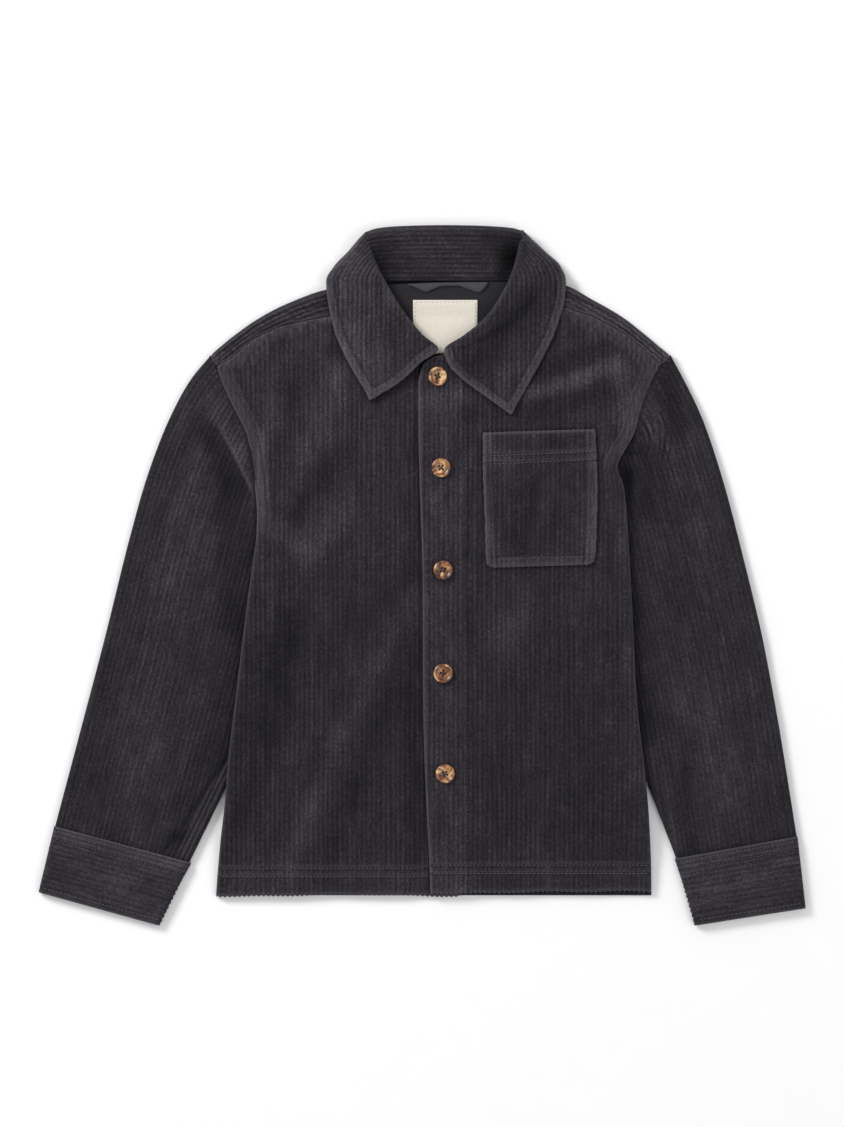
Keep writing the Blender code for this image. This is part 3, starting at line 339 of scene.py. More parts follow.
SLEEVE_PILE_AND_SHADING = (
    (-181.0, 69.0, -190.0, 0.0, 24.0, 0.45),
    (-212.0, -93.0, -219.0, -143.0, 24.0, 0.40),
    # Painted shadow on the sleeve along the body's side
    (-150.0, 70.0, -147.0, -30.0, 15.0, -0.65),
    (-147.0, -30.0, -160.0, -124.0, 14.0, -0.55),
    (-163.0, 136.0, -143.0, 100.0, 8.0, 0.60),
    (-143.0, 100.0, -130.0, 64.0, 7.0, 0.80),
    (-171.0, 118.0, -151.0, 74.0, 9.0, -0.70),
    (-160.0, -168.0, -186.0, -210.0, 4.0, 0.60),
    (-172.0, -149.0, -190.0, -180.0, 8.0, -0.30),
    (-240.0, -60.0, -262.0, -150.0, 16.0, -0.20),
    (212.0, -90.0, 236.0, -156.0, 26.0, 0.40),
    (206.0, 90.0, 222.0, 20.0, 18.0, 0.28),
    (190.0, 158.0, 198.0, 118.0, 10.0, -0.75),
    (172.0, 92.0, 172.0, 66.0, 14.0, -0.70),
    (168.0, -30.0, 174.0, -118.0, 11.0, -0.65),
    (204.0, -148.0, 210.0, -206.0, 7.0, -0.55),
    (188.0, -150.0, 196.0, -206.0, 6.0, 0.30),
    (174.0, 134.0, 184.0, 110.0, 9.0, 0.45),
    (250.0, -30.0, 268.0, -110.0, 14.0, 0.20),
)
COLLAR_PILE_AND_SHADING = (
    (-60.0, 240.0, -52.0, 180.0, 26.0, 0.70),
    (-52.0, 180.0, -38.0, 158.0, 16.0, 0.45),
    (-34.0, 246.0, -24.0, 214.0, 6.0, 0.45),
    (44.0, 172.0, 88.0, 214.0, 17.0, -0.75),
    (60.0, 190.0, 96.0, 236.0, 9.0, -0.35),
    (84.0, 262.0, 100.0, 246.0, 12.0, 0.35),
    (98.0, 210.0, 84.0, 168.0, 8.0, 0.25),
    # Painted shadow in the corner hollows where the stand meets the leaves' rolls
    (72.0, 258.0, 64.0, 240.0, 8.0, -1.80),
    (-38.0, 258.0, -26.0, 240.0, 8.0, -0.50),
    (-10.0, 262.0, 30.0, 262.0, 9.0, 0.25),
)
POCKET_PILE_AND_SHADING = (
    (84.0, 66.0, 74.0, 30.0, 12.0, -0.55),
    (104.0, 50.0, 100.0, 26.0, 10.0, -0.25),
    (54.0, 110.0, 64.0, 94.0, 12.0, 0.45),
    (60.0, 18.0, 52.0, 40.0, 8.0, 0.40),
    (128.0, 26.0, 130.0, 60.0, 8.0, 0.45),
    (76.0, 100.0, 120.0, 104.0, 8.0, -0.15),
)
CUFF_CREASE = ((-201.0, -211.0), (-188.4, -197.5), (-179.0, -180.6), (-165.0, -158.0), (-151.0, -137.7))
FLAP_FOLD = (
    (60.0, -129.6),
    (78.0, -137.6),
    (93.0, -145.0),
    (104.0, -150.6),
    (114.0, -156.4),
    (124.0, -163.0),
)

LEAF_RIGHT = (
    # y, x of the roll, x of the outer edge, depth of the stand folded under it, air in the roll
    (140.2, -39.6, -41.6, 0.6, 0.6),
    (146.0, -30.0, -44.2, 0.6, 0.6),
    (153.0, -18.6, -48.4, 0.6, 0.6),
    (161.0, -9.2, -53.2, 0.6, 0.6),
    (169.0, -1.2, -57.8, 0.6, 0.6),
    (179.0, 12.4, -62.7, 3.0, 1.0),
    (190.0, 0.4, -67.5, 10.0, 1.6),
    (204.0, -11.2, -71.2, 14.0, 1.8),
    (218.0, -20.8, -73.9, 15.0, 2.4),
    (232.0, -28.8, -75.0, 14.0, 2.8),
    (244.0, -35.0, -69.2, 10.0, 3.0),
    (256.0, -39.6, -57.9, 6.0, 3.0),
    (267.0, -42.8, -48.4, 1.5, 2.6),
    (270.0, -43.6, -45.0, 0.6, 2.4),
)
LEAF_LEFT = (
    # y, x of the roll, x of the outer edge, depth of the stand folded under it, air in the roll
    (128.6, 68.6, 69.6, 0.6, 0.6),
    (135.0, 59.6, 72.6, 0.6, 0.6),
    (145.0, 45.6, 78.4, 0.6, 0.6),
    (156.0, 30.8, 84.4, 0.6, 0.6),
    (167.0, 20.4, 90.6, 0.6, 0.6),
    (178.5, 16.8, 96.4, 3.0, 1.0),
    (190.0, 32.2, 102.0, 10.0, 1.6),
    (204.0, 48.8, 106.8, 14.0, 1.8),
    (218.0, 59.0, 110.6, 15.0, 2.4),
    (232.0, 66.4, 111.6, 14.0, 2.8),
    (244.0, 71.0, 107.8, 10.0, 3.0),
    (256.0, 74.0, 95.6, 6.0, 3.0),
    (268.5, 76.0, 82.0, 1.5, 2.6),
    (271.6, 77.0, 78.6, 0.6, 2.4),
)
SIDE_FOLD_Y = 236.0
COLLAR_BACK = (
    # y, z of the outer side, from the neck seam over the roll to the edge underneath
    (232.9, 5.0),
    (240.0, 5.4),
    (249.0, 7.0),
    (257.0, 9.8),
    (264.0, 13.0),
    (268.6, 14.6),
    (272.4, 13.6),
    (274.8, 10.4),
    (275.4, 6.6),
    (274.0, 3.0),
    (270.6, 0.7),
    (266.0, 0.0),
    (250.0, 0.0),
    (224.0, 0.0),
)
COLLAR_TOP = (
    # x, y of the roll, y of the edge underneath
    (-43.6, 270.4, 224.4),
    (-36.0, 272.9, 223.4),
    (-18.0, 274.7, 221.6),
    (16.0, 275.5, 220.6),
    (40.0, 275.2, 221.0),
    (60.0, 274.2, 222.0),
    (70.0, 273.2, 223.4),
    (77.4, 271.2, 224.4),
)

BUTTONS = (
    # x, y, turn of the holes in degrees
    (11.3, 158.0, 20.0),
    (14.4, 87.0, 5.0),
    (16.0, 7.4, -12.0),
    (16.0, -72.9, 38.0),
    (17.6, -150.9, 15.0),
)
POCKET_CLOTH = 1.6
POCKET_FOOT = 10.6
POCKET_MOUTH = 115.4
POCKET_BAND = 8.0               # stitched edge
POCKET_ROWS = (91.5, 97.8)      # stitch rows of the mouth's hem
POCKET_FOOT_ROW = 18.6
POCKET_MIDDLE = 92.0
POCKET_SLOPE = 0.030            # rise toward the sleeve
POCKET = (
    # y, inner edge x, outer edge x
    (10.6, 52.0, 131.6),
    (13.0, 50.0, 133.6),
    (52.0, 48.4, 135.6),
    (72.0, 47.6, 136.0),
    (88.0, 47.0, 135.5),
    (115.4, 46.9, 134.4),
)
LABEL = (-7.4, 176.0, 42.8, 217.7)
LOOP = (
    # x, upper edge y, lower edge y
    (-11.3, 230.3, 229.0),
    (-5.0, 230.6, 226.8),
    (3.0, 231.0, 223.8),
    (9.0, 231.2, 226.2),
    (16.0, 231.3, 228.2),
    (27.0, 231.5, 228.4),
    (36.0, 231.6, 225.6),
    (44.0, 231.7, 223.4),
    (50.8, 231.7, 229.4),
)


# Curves


def eased(t):
    """0 to 1 with a soft start and end."""
    t = np.clip(t, 0.0, 1.0)
    return t * t * (3.0 - 2.0 * t)


def curve(table, at, column=1):
    """One column of a table at places, as a smooth curve that doesn't swing past its points."""
    xs = np.array([row[0] for row in table], float)
    ys = np.array([row[column] for row in table], float)
    h = np.diff(xs)
    d = np.diff(ys) / h
    m = np.concatenate(([d[0]], np.zeros(len(xs) - 2), [d[-1]]))
    for k in range(1, len(xs) - 1):
        if d[k - 1] * d[k] > 0.0:
            w0 = 2.0 * h[k] + h[k - 1]
            w1 = h[k] + 2.0 * h[k - 1]
            m[k] = (w0 + w1) / (w0 / d[k - 1] + w1 / d[k])
    at = np.clip(np.asarray(at, float), xs[0], xs[-1])
    k = np.clip(np.searchsorted(xs, at, side="right") - 1, 0, len(h) - 1)
    t = (at - xs[k]) / h[k]
    return (ys[k] * (1.0 + 2.0 * t) * (1.0 - t) ** 2 + ys[k + 1] * t * t * (3.0 - 2.0 * t)
            + h[k] * (m[k] * t * (1.0 - t) ** 2 - m[k + 1] * t * t * (1.0 - t)))


def straight(table, at, column=1):
    """One column of a table at places, straight from row to row."""
    return np.interp(at, [row[0] for row in table], [row[column] for row in table])


def fold_height(folds, x, y):
    """Sum of the soft ridges and troughs at points."""
    total = np.zeros(np.broadcast(x, y).shape)
    for x0, y0, x1, y1, half, rise in folds:
        length = math.hypot(x1 - x0, y1 - y0)
        ux = (x1 - x0) / length
        uy = (y1 - y0) / length
        run = (x - x0) * ux + (y - y0) * uy
        off = np.abs((y - y0) * ux - (x - x0) * uy)
        past = np.maximum(0.0, np.maximum(-run, run - length))
        away = np.hypot(off, past * 0.7)
        shape = 0.5 + 0.5 * np.cos(np.pi * np.minimum(away, half) / half)
        total = total + np.where(away < half, rise * shape, 0.0)
    return total


def pile_lie_and_shading(strokes, x, y):
    """Lie of the pile with painted shade and light, from its listed strokes, with wide soft ends."""
    wide = [(x0, y0, x1, y1, half * 1.4, strength) for x0, y0, x1, y1, half, strength in strokes]
    return 1.5 * np.tanh(fold_height(wide, x, y) / 1.5)


def line_distance(x, y, line):
    """Distance from points to a line of points."""
    best = np.full(np.broadcast(x, y).shape, 1e9)
    for (ax, ay), (bx, by) in zip(line, line[1:]):
        ex = bx - ax
        ey = by - ay
        t = np.clip(((x - ax) * ex + (y - ay) * ey) / (ex * ex + ey * ey), 0.0, 1.0)
        best = np.minimum(best, np.hypot(x - ax - t * ex, y - ay - t * ey))
    return best


def ripple(x, y, size, seed):
    """Soft uneven height from a few crossing waves, about -1 to 1."""
    rng = random.Random(seed)
    total = 0.0
    for _ in range(6):
        angle = rng.uniform(0.0, math.pi)
        wave = size * rng.uniform(0.7, 1.6)
        phase = rng.uniform(0.0, 6.28)
        total = total + np.sin(2.0 * np.pi * (x * math.cos(angle) + y * math.sin(angle)) / wave + phase)
    return total / 3.0


def wale_height(across, pitch=WALE):
    """Height of the ribs: high crests with round flanks. A crest lies on each whole pitch."""
    c = 1.0 - np.abs(2.0 * ((across / pitch) % 1.0) - 1.0)
    return WALE_RISE * (1.0 - c ** 1.7)


def roll(d, width, height):
    """How far an edge has rolled down at a distance from it."""
    t = np.clip((width - d) / np.maximum(width, 1e-6), 0.0, 1.0)
    return height * (1.0 - np.sqrt(np.maximum(0.0, 1.0 - t * t)))


def bell(x, y, at_x, at_y, wide, tall):
    """1 at a place, and less all round it."""
    return np.exp(-((x - at_x) / wide) ** 2 - ((y - at_y) / tall) ** 2)


def groove(d, depth=0.45, half=0.9):
    """Dent along a row of stitches."""
    return depth * np.exp(-(d / half) ** 2)


# Heights of the layers


def tuck(table):
    return tuple((row[3], row[2]) for row in reversed(table))


def lift(x, y):
    """Height of the underside of the body's back."""
    over_right = eased((straight(tuck(SLEEVE_RIGHT), y) + LIFT_LEAD + LIFT_RUN - x) / LIFT_RUN)
    over_right = over_right * (1.0 - eased((y - UNDERARM_RIGHT - 10.0) / 40.0))
    over_left = eased((x - straight(tuck(SLEEVE_LEFT), y) + LIFT_LEAD + LIFT_RUN) / LIFT_RUN)
    over_left = over_left * (1.0 - eased((y - UNDERARM_LEFT - 6.0) / 30.0))
    hem = eased((y + 246.0) / 40.0)
    over_fall = eased((y - 203.0) / 14.0) * eased((x + 94.0) / 12.0) * eased((128.0 - x) / 12.0)
    return OVER_SLEEVE * (over_right + over_left) * hem + OVER_FALL * over_fall


def lap_loft(y):
    low = UNDERLAP_LOFT + 1.3 * eased((y - 108.0) / 28.0)
    return low + (LOFT - low) * eased((y - 160.0) / 10.0)


def front_air(x, y):
    """Air under a front, with all its folds."""
    soft = 0.25 * ripple(x, y, 70.0, 3) + 0.10 * ripple(x, y * 0.7, 24.0, 4)
    return LOFT + fold_height(FRONT_FOLDS, x, y) + fold_height(FINE_FRONT_FOLDS, x, y) + soft


def right_front_top(x, y):
    flat = eased((x + 18.0) / 16.0)
    air = front_air(x, y)
    return lift(x, y) + CLOTH + air + (lap_loft(y) - air) * flat + CLOTH


def left_front_top(x, y):
    lap = 1.0 - eased((x - 30.0) / 30.0)
    air = front_air(x, y)
    over = lap_loft(y) + CLOTH + 0.9
    facing = CLOTH + (FACED - CLOTH) * (1.0 - eased((x - 33.5) / 4.0))
    return lift(x, y) + CLOTH + air + (over - air) * lap + facing


def front_top(x, y):
    share = eased((x + 14.0) / 10.0)
    return right_front_top(x, y) * (1.0 - share) + left_front_top(x, y) * share


# Meshes


def add_piece(name, mesh, material):
    """A smooth piece that rides on the root body."""
    mesh.shade_smooth()
    mesh.materials.append(material)
    piece = bpy.data.objects.new(name, mesh)
    bpy.context.scene.collection.objects.link(piece)
    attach(piece, "root")
    return piece


def finish_mesh(name, points, faces, uv, material, marks=None):
    """A piece from points in mm, with its cloth map and the marks of its pile, painted shade and painted
    light.
    """
    placed = (np.asarray(points, float) - (CENTRE_X, CENTRE_Y, 0.0)) * MM
    mesh = bpy.data.meshes.new(name)
    mesh.from_pydata(placed.tolist(), [], faces)
    mesh.update()
    if uv is not None:
        layer = mesh.uv_layers.new(name="cloth")
        corners = np.empty(len(mesh.loops), dtype=np.int32)
        mesh.loops.foreach_get("vertex_index", corners)
        layer.data.foreach_set("uv", (np.asarray(uv, float)[corners] * 0.01).ravel())
    if marks is not None:
        pile = mesh.attributes.new("pile", "FLOAT_COLOR", "POINT")
        colours = np.column_stack((marks, np.ones(len(marks))))
        pile.data.foreach_set("color", colours.astype(np.float32).ravel())
    bm = bmesh.new()
    bm.from_mesh(mesh)
    bmesh.ops.recalc_face_normals(bm, faces=bm.faces)
    bm.to_mesh(mesh)
    bm.free()
    return add_piece(name, mesh, material)


def falloff(d, wide=1.5):
    """1 on an edge or line, and less with the distance from it: rubbed pile with painted sheen along edges,
    and painted shade along creases.
    """
    return np.exp(-(np.maximum(d, 0.0) / wide) ** 2)


def sunk(d, half=0.8):
    """Darker line along a row of stitches, with painted shade in its dent; beside rows it also places painted
    highlights.
    """
    return np.exp(-(d / half) ** 2)


def pile_marks(rim, dark, shade):
    """Columns for the cloth's materials: rubbed edge with painted sheen, sunk line with painted shade, lie of
    the pile with painted shade and light.
    """
    size = np.broadcast(rim, dark, shade).shape
    columns = [np.broadcast_to(np.asarray(c, float), size) for c in (rim, dark, shade)]
    return np.stack((np.clip(columns[0], 0.0, 1.0), np.clip(columns[1], 0.0, 1.0), columns[2]), axis=1)


def patch_faces(ids, faces, flip=False):
    """Faces between rows of point numbers. Repeated numbers close up to triangles or nothing."""
    a = ids[:-1, :-1].ravel()
    b = ids[:-1, 1:].ravel()
    c = ids[1:, 1:].ravel()
    d = ids[1:, :-1].ravel()
    quads = np.stack((a, b, c, d) if not flip else (d, c, b, a), axis=1)
    plain = (a != b) & (b != c) & (c != d) & (d != a)
    faces.extend(map(tuple, quads[plain].tolist()))
    for quad in quads[~plain].tolist():
        kept = [p for k, p in enumerate(quad) if p != quad[k - 1]]
        if len(set(kept)) >= 3:
            faces.append(tuple(kept))


def close_rims(one, two, faces):
    """Faces between the four edges of two patches of point numbers."""
    for take in (lambda g: g[0], lambda g: g[-1], lambda g: g[:, 0], lambda g: g[:, -1]):
        patch_faces(np.array((take(one), take(two))), faces)


def zip_strip(faces, one, two):
    """Triangles between two runs of (place, number)."""
    i = 0
    j = 0
    while i < len(one) - 1 or j < len(two) - 1:
        two_done = j == len(two) - 1
        if two_done or (i < len(one) - 1 and one[i + 1][0] + one[i][0] <= two[j + 1][0] + two[j][0]):
            face = (one[i][1], one[i + 1][1], two[j][1])
            i += 1
        else:
            face = (one[i][1], two[j + 1][1], two[j][1])
            j += 1
        if len(set(face)) == 3:
            faces.append(face)


class Sheet:
    """Points laid in rows between two edges, on lines that follow the wales."""

    def __init__(self, rows, low, high, columns, place):
        """place(column, row) gives the across place of a wale line on a row, so that it can bend."""
        spot = place(columns[None, :], rows[:, None])
        inside = (spot > low[:, None] + 0.12) & (spot < high[:, None] - 0.12)
        spot = np.where(inside, spot, np.where(spot <= low[:, None] + 0.12, low[:, None], high[:, None]))
        ids = np.zeros(spot.shape, dtype=np.int64)
        across = []
        along = []
        wale = []
        self.runs = []
        for r in range(len(rows)):
            cols = np.nonzero(inside[r])[0]
            start = len(across)
            first = cols[0] if len(cols) else spot.shape[1] // 2
            last = cols[-1] if len(cols) else first - 1
            across.extend([low[r], *spot[r, cols], high[r]])
            along.extend([rows[r]] * (len(cols) + 2))
            edge_low = columns[first] - (spot[r, first] - low[r]) if len(cols) else columns[first]
            edge_high = columns[last] + (high[r] - spot[r, last]) if len(cols) else columns[first]
            wale.extend([edge_low, *columns[cols], edge_high])
            ids[r, :first] = start
            ids[r, cols] = start + 1 + np.arange(len(cols))
            ids[r, last + 1:] = start + 1 + len(cols)
            self.runs.append((start, len(cols) + 2))
        self.ids = ids
        self.across = np.array(across)
        self.along = np.array(along)
        self.wale = np.array(wale)


def shell(name, sheet, under, top_z, under_z, material, marks=None):
    """A thin closed cloth shell. sheet holds its upper points and under its sparser lower ones."""
    top = np.stack((sheet.across, sheet.along, top_z), axis=1)
    low = np.stack((under.across, under.along, under_z), axis=1)
    count = len(top)
    faces = []
    patch_faces(sheet.ids, faces)
    patch_faces(under.ids + count, faces, flip=True)
    for r in (0, -1):
        start, length = sheet.runs[r]
        upper = [(sheet.across[start + k], start + k) for k in range(length)]
        start, length = under.runs[r]
        lower = [(under.across[start + k], count + start + k) for k in range(length)]
        zip_strip(faces, upper, lower)
    firsts = [[run[0] for run in sheet.runs], [count + run[0] for run in under.runs]]
    lasts = [[run[0] + run[1] - 1 for run in sheet.runs], [count + run[0] + run[1] - 1 for run in under.runs]]
    for side in (firsts, lasts):
        for k in range(len(side[0]) - 1):
            faces.append((side[0][k], side[0][k + 1], side[1][k + 1], side[1][k]))
    uv = np.concatenate([np.stack((layer.wale, layer.along), axis=1) for layer in (sheet, under)])
    if marks is not None:
        marks = np.concatenate((marks, np.zeros((len(low), 3))))
    return finish_mesh(name, np.concatenate((top, low)), faces, uv, material, marks)


def wale_columns(low, high, margin=6.0, steps=WALE_STEPS):
    step = WALE / steps
    return np.arange(math.floor((low - margin) / step), math.ceil((high + margin) / step) + 1) * step


def rows_between(low, high, step, marks=()):
    """Rows a step apart, closer at both ends and round each mark."""
    rows = list(np.linspace(low, high, max(2, round((high - low) / step)) + 1))
    rows += [low + d for d in (0.25, 0.7, 1.3, 2.0)]
    rows += [high - d for d in (0.25, 0.7, 1.3, 2.0)]
    for mark in marks:
        rows += [mark + d for d in (-1.6, -0.8, 0.0, 0.8, 1.6)]
    rows = sorted(r for r in rows if low <= r <= high)
    kept = [rows[0]]
    for r in rows[1:]:
        if r - kept[-1] > 0.2:
            kept.append(r)
    kept[-1] = high
    return np.array(kept)


# Stitches


def stitch_row(points, height, sunk=0.12):
    """Stitches along a line of (x, y), as (middle, direction) with the surface under them."""
    out = []
    line = [np.array(p, float) for p in points]
    left = STITCH_STEP * 0.5
    for a, b in zip(line, line[1:]):
        length = float(np.linalg.norm(b - a))
        way = (b - a) / max(length, 1e-9)
        while left < length:
            at = a + way * left
            ahead = at + way * STITCH * 0.5
            behind = at - way * STITCH * 0.5
            z = float(height(at[0], at[1])) - sunk
            slope = (float(height(ahead[0], ahead[1])) - float(height(behind[0], behind[1]))) / STITCH
            out.append((at[0], at[1], z, way[0], way[1], slope))
            left += STITCH_STEP
        left -= length
    return out


def stitches(name, rows, radius, material):
    """All stitches of a panel as one piece: short rounded threads with tapered, sunk ends."""
    rings = (
        # place along a stitch, share of its thickness, height
        (-0.5, 0.25, -0.30),
        (-0.36, 0.85, 0.02),
        (0.0, 1.0, 0.12),
        (0.36, 0.85, 0.02),
        (0.5, 0.25, -0.30),
    )
    sides = 6
    points = []
    faces = []
    for x, y, z, wx, wy, slope in rows:
        start = len(points)
        for along, wide, up in rings:
            for k in range(sides):
                a = 2.0 * math.pi * k / sides
                side = radius * wide * math.cos(a)
                rise = radius * wide * math.sin(a)
                d = along * STITCH
                points.append((x + wx * d - wy * side, y + wy * d + wx * side, z + slope * d + up + rise))
        for r in range(len(rings) - 1):
            for k in range(sides):
                n = (k + 1) % sides
                a = start + r * sides
                faces.append((a + k, a + n, a + sides + n, a + sides + k))
        faces.append(tuple(start + k for k in range(sides)))
        last = start + (len(rings) - 1) * sides
        faces.append(tuple(last + k for k in range(sides)))
    return finish_mesh(name, points, faces, None, material)


# Materials


def new_material(name):
    material = bpy.data.materials.new(name)
    material.use_nodes = True
    tree = material.node_tree
    return material, tree, tree.nodes["Principled BSDF"]


def node(tree, kind, settings=None, values=None, links=None):
    """Adds a node, with its settings, its socket values and its input links."""
    made = tree.nodes.new(kind)
    for key, value in (settings or {}).items():
        setattr(made, key, value)
    for key, value in (values or {}).items():
        made.inputs[key].default_value = value
    for key, value in (links or {}).items():
        tree.links.new(value, made.inputs[key])
    return made


def math_node(tree, operation, a, b=None, clamp=False):
    made = node(tree, "ShaderNodeMath", {"operation": operation, "use_clamp": clamp})
    for number, value in enumerate((a, b)):
        if value is None:
            continue
        if isinstance(value, (int, float)):
            made.inputs[number].default_value = value
        else:
            tree.links.new(value, made.inputs[number])
    return made.outputs[0]


def ramp(tree, factor, stops):
    made = node(tree, "ShaderNodeValToRGB", links={"Fac": factor})
    elements = made.color_ramp.elements
    while len(elements) < len(stops):
        elements.new(0.5)
    for element, (place, colour) in zip(elements, stops):
        element.position = place
        element.color = (*colour, 1.0) if len(colour) == 3 else colour
    return made.outputs["Color"]


def mix_colour(tree, factor, a, b, blend="MIX"):
    made = node(tree, "ShaderNodeMix", {"data_type": "RGBA", "blend_type": blend})
    for socket, value in ((made.inputs[0], factor), (made.inputs[6], a), (made.inputs[7], b)):
        if isinstance(value, (int, float)):
            socket.default_value = value
        elif isinstance(value, tuple):
            socket.default_value = (*value, 1.0)
        else:
            tree.links.new(value, socket)
    return made.outputs[2]


def noise(tree, where, scale=1.0, detail=2.0, roughness=0.5, distortion=0.0, flat=False):
    values = {"Scale": scale, "Detail": detail, "Roughness": roughness, "Distortion": distortion}
    settings = {"noise_dimensions": "2D" if flat else "3D"}
    return node(tree, "ShaderNodeTexNoise", settings, values, {"Vector": where}).outputs["Fac"]


def cloth_noise(tree, cloth, across, along, detail=2.0, roughness=0.5):
    """Noise in the cloth map, with its own scale across and along the wales."""
    values = {"Scale": (across, along, 1.0)}
    place = node(tree, "ShaderNodeMapping", {"vector_type": "POINT"}, values, {"Vector": cloth})
    return noise(tree, place.outputs[0], 1.0, detail, roughness, flat=True)


def add_bump(tree, shader, height, strength, distance):
    values = {"Strength": strength, "Distance": distance}
    bump = node(tree, "ShaderNodeBump", values=values, links={"Height": height})
    tree.links.new(bump.outputs[0], shader.inputs["Normal"])


CORD_COLOUR = (0.0222, 0.0201, 0.0240)
RUBBED_AND_SHEEN_COLOUR = (0.088, 0.081, 0.091)
SUNK_AND_SHADE_COLOUR = (0.008, 0.0075, 0.009)


def corduroy(name, pitch=WALE, contrast=1.0, depth=0.8):
    """Cotton pile in ribs. The cloth map runs across the wales in u and along them in v, 1 for 100 mm."""
    def tone(share):
        return tuple(c * share ** depth for c in CORD_COLOUR)

    material, tree, shader = new_material(name)
    cloth = node(tree, "ShaderNodeUVMap", {"uv_map": "cloth"}).outputs[0]
    space = node(tree, "ShaderNodeTexCoord").outputs["Object"]
    across = node(tree, "ShaderNodeSeparateXYZ", links={0: cloth}).outputs[0]
    phase = math_node(tree, "FRACT", math_node(tree, "MULTIPLY", across, 100.0 / pitch))
    doubled = math_node(tree, "MULTIPLY", phase, 2.0)
    off_groove = math_node(tree, "ABSOLUTE", math_node(tree, "SUBTRACT", doubled, 1.0))
    # Painted light on the ribs: crests lighter and grooves darker than the cloth's own tone
    ribs = ramp(tree, math_node(tree, "SUBTRACT", 1.0, off_groove), (
        (0.0, tone(1.60)),
        (0.24, tone(1.32)),
        (0.52, tone(0.98)),
        (1.0, tone(0.77)),
    ))
    # In places the pile closes over the grooves
    closed = noise(tree, space, 30.0, 3.0, 0.62)
    open_share = ramp(tree, closed, ((0.36, (0.30, 0.30, 0.30)), (0.60, (1.10, 1.10, 1.10))))
    shown = mix_colour(tree, math_node(tree, "MULTIPLY", open_share, contrast), tone(1.0), ribs)
    # Streaks along the wales, tufts, lumps, and soft patches of brushed pile
    streaks = cloth_noise(tree, cloth, 26.0, 2.4, 3.0)
    tufts = cloth_noise(tree, cloth, 66.0, 48.0, 4.0, 0.72)
    lumps = noise(tree, space, 330.0, 2.0, 0.6)
    nap = noise(tree, space, 24.0, 2.0, 0.6)
    brushed = noise(tree, space, 85.0, 3.0, 0.6)
    for share, factor, stops in (
        (0.36, streaks, ((0.30, (0.55, 0.55, 0.55)), (0.52, (1.0, 1.0, 1.0)), (0.72, (1.75, 1.72, 1.75)))),
        (0.66, tufts, ((0.30, (0.40, 0.40, 0.41)), (0.50, (0.94, 0.94, 0.94)), (0.70, (2.0, 1.95, 2.0)))),
        (0.55, lumps, ((0.32, (0.70, 0.70, 0.71)), (0.68, (1.36, 1.34, 1.35)))),
        (0.55, nap, ((0.30, (0.74, 0.74, 0.75)), (0.70, (1.28, 1.27, 1.27)))),
        (0.60, brushed, ((0.30, (0.74, 0.74, 0.75)), (0.70, (1.28, 1.27, 1.28)))),
    ):
        shown = mix_colour(tree, share, shown, ramp(tree, factor, stops), "MULTIPLY")
    # The third mark doubles or halves the colour: the lie of the pile, with painted shade in hollows and
    # painted light on folds
    pile = node(tree, "ShaderNodeAttribute", {"attribute_type": "GEOMETRY", "attribute_name": "pile"})
    marks = node(tree, "ShaderNodeSeparateColor", links={0: pile.outputs["Color"]})
    lie_and_shading = math_node(tree, "POWER", 2.0, math_node(tree, "MULTIPLY", marks.outputs[2], 0.95))
    laid = node(tree, "ShaderNodeVectorMath", {"operation": "SCALE"}, links={0: shown, "Scale": lie_and_shading})
    # First mark: pile rubbed pale at edges, with painted sheen on edges, fold rims and crests
    uneven = math_node(tree, "ADD", 0.35, math_node(tree, "MULTIPLY", tufts, 0.75))
    rim = math_node(tree, "MULTIPLY", marks.outputs[0], uneven, True)
    rimmed = mix_colour(tree, rim, laid.outputs[0], RUBBED_AND_SHEEN_COLOUR)
    # Second mark: darker rows of stitches, with painted shade in their dents, creases and hollows
    lined = mix_colour(tree, math_node(tree, "MULTIPLY", marks.outputs[1], 0.62), rimmed, SUNK_AND_SHADE_COLOUR)
    tree.links.new(lined, shader.inputs["Base Color"])
    shader.inputs["Roughness"].default_value = 0.95
    shader.inputs["Specular IOR Level"].default_value = 0.10
    shader.inputs["Sheen Weight"].default_value = 0.20
    shader.inputs["Sheen Roughness"].default_value = 0.40
    shader.inputs["Sheen Tint"].default_value = (0.62, 0.60, 0.66, 1.0)
    fibres = cloth_noise(tree, cloth, 420.0, 260.0)
    rough = math_node(tree, "MULTIPLY", tufts, 0.7)
    fine = math_node(tree, "MULTIPLY", fibres, 0.3)
    add_bump(tree, shader, math_node(tree, "ADD", rough, fine), 0.8, 0.0007)
    return material


def woven(name, colour, thread_mm, contrast, roughness, bump_mm):
    """Plain weave from two crossing waves, with slubs."""
    material, tree, shader = new_material(name)
    cloth = node(tree, "ShaderNodeUVMap", {"uv_map": "cloth"}).outputs[0]
    parts = node(tree, "ShaderNodeSeparateXYZ", links={0: cloth})
    turns = 100.0 / thread_mm * math.pi
    warp = math_node(tree, "SINE", math_node(tree, "MULTIPLY", parts.outputs[0], turns))
    weft = math_node(tree, "SINE", math_node(tree, "MULTIPLY", parts.outputs[1], turns))
    weave = math_node(tree, "MULTIPLY", warp, weft)
    slubs = noise(tree, cloth, 60.0, 4.0, flat=True)
    shade = math_node(tree, "ADD", math_node(tree, "MULTIPLY", weave, 0.25), slubs)
    tone = ramp(tree, shade, (
        (0.25, tuple(c * (1.0 - contrast) for c in colour)),
        (0.75, tuple(min(1.0, c * (1.0 + contrast)) for c in colour)),
    ))
    tree.links.new(tone, shader.inputs["Base Color"])
    shader.inputs["Roughness"].default_value = roughness
    shader.inputs["Specular IOR Level"].default_value = 0.25
    add_bump(tree, shader, weave, 0.5, bump_mm * MM)
    return material


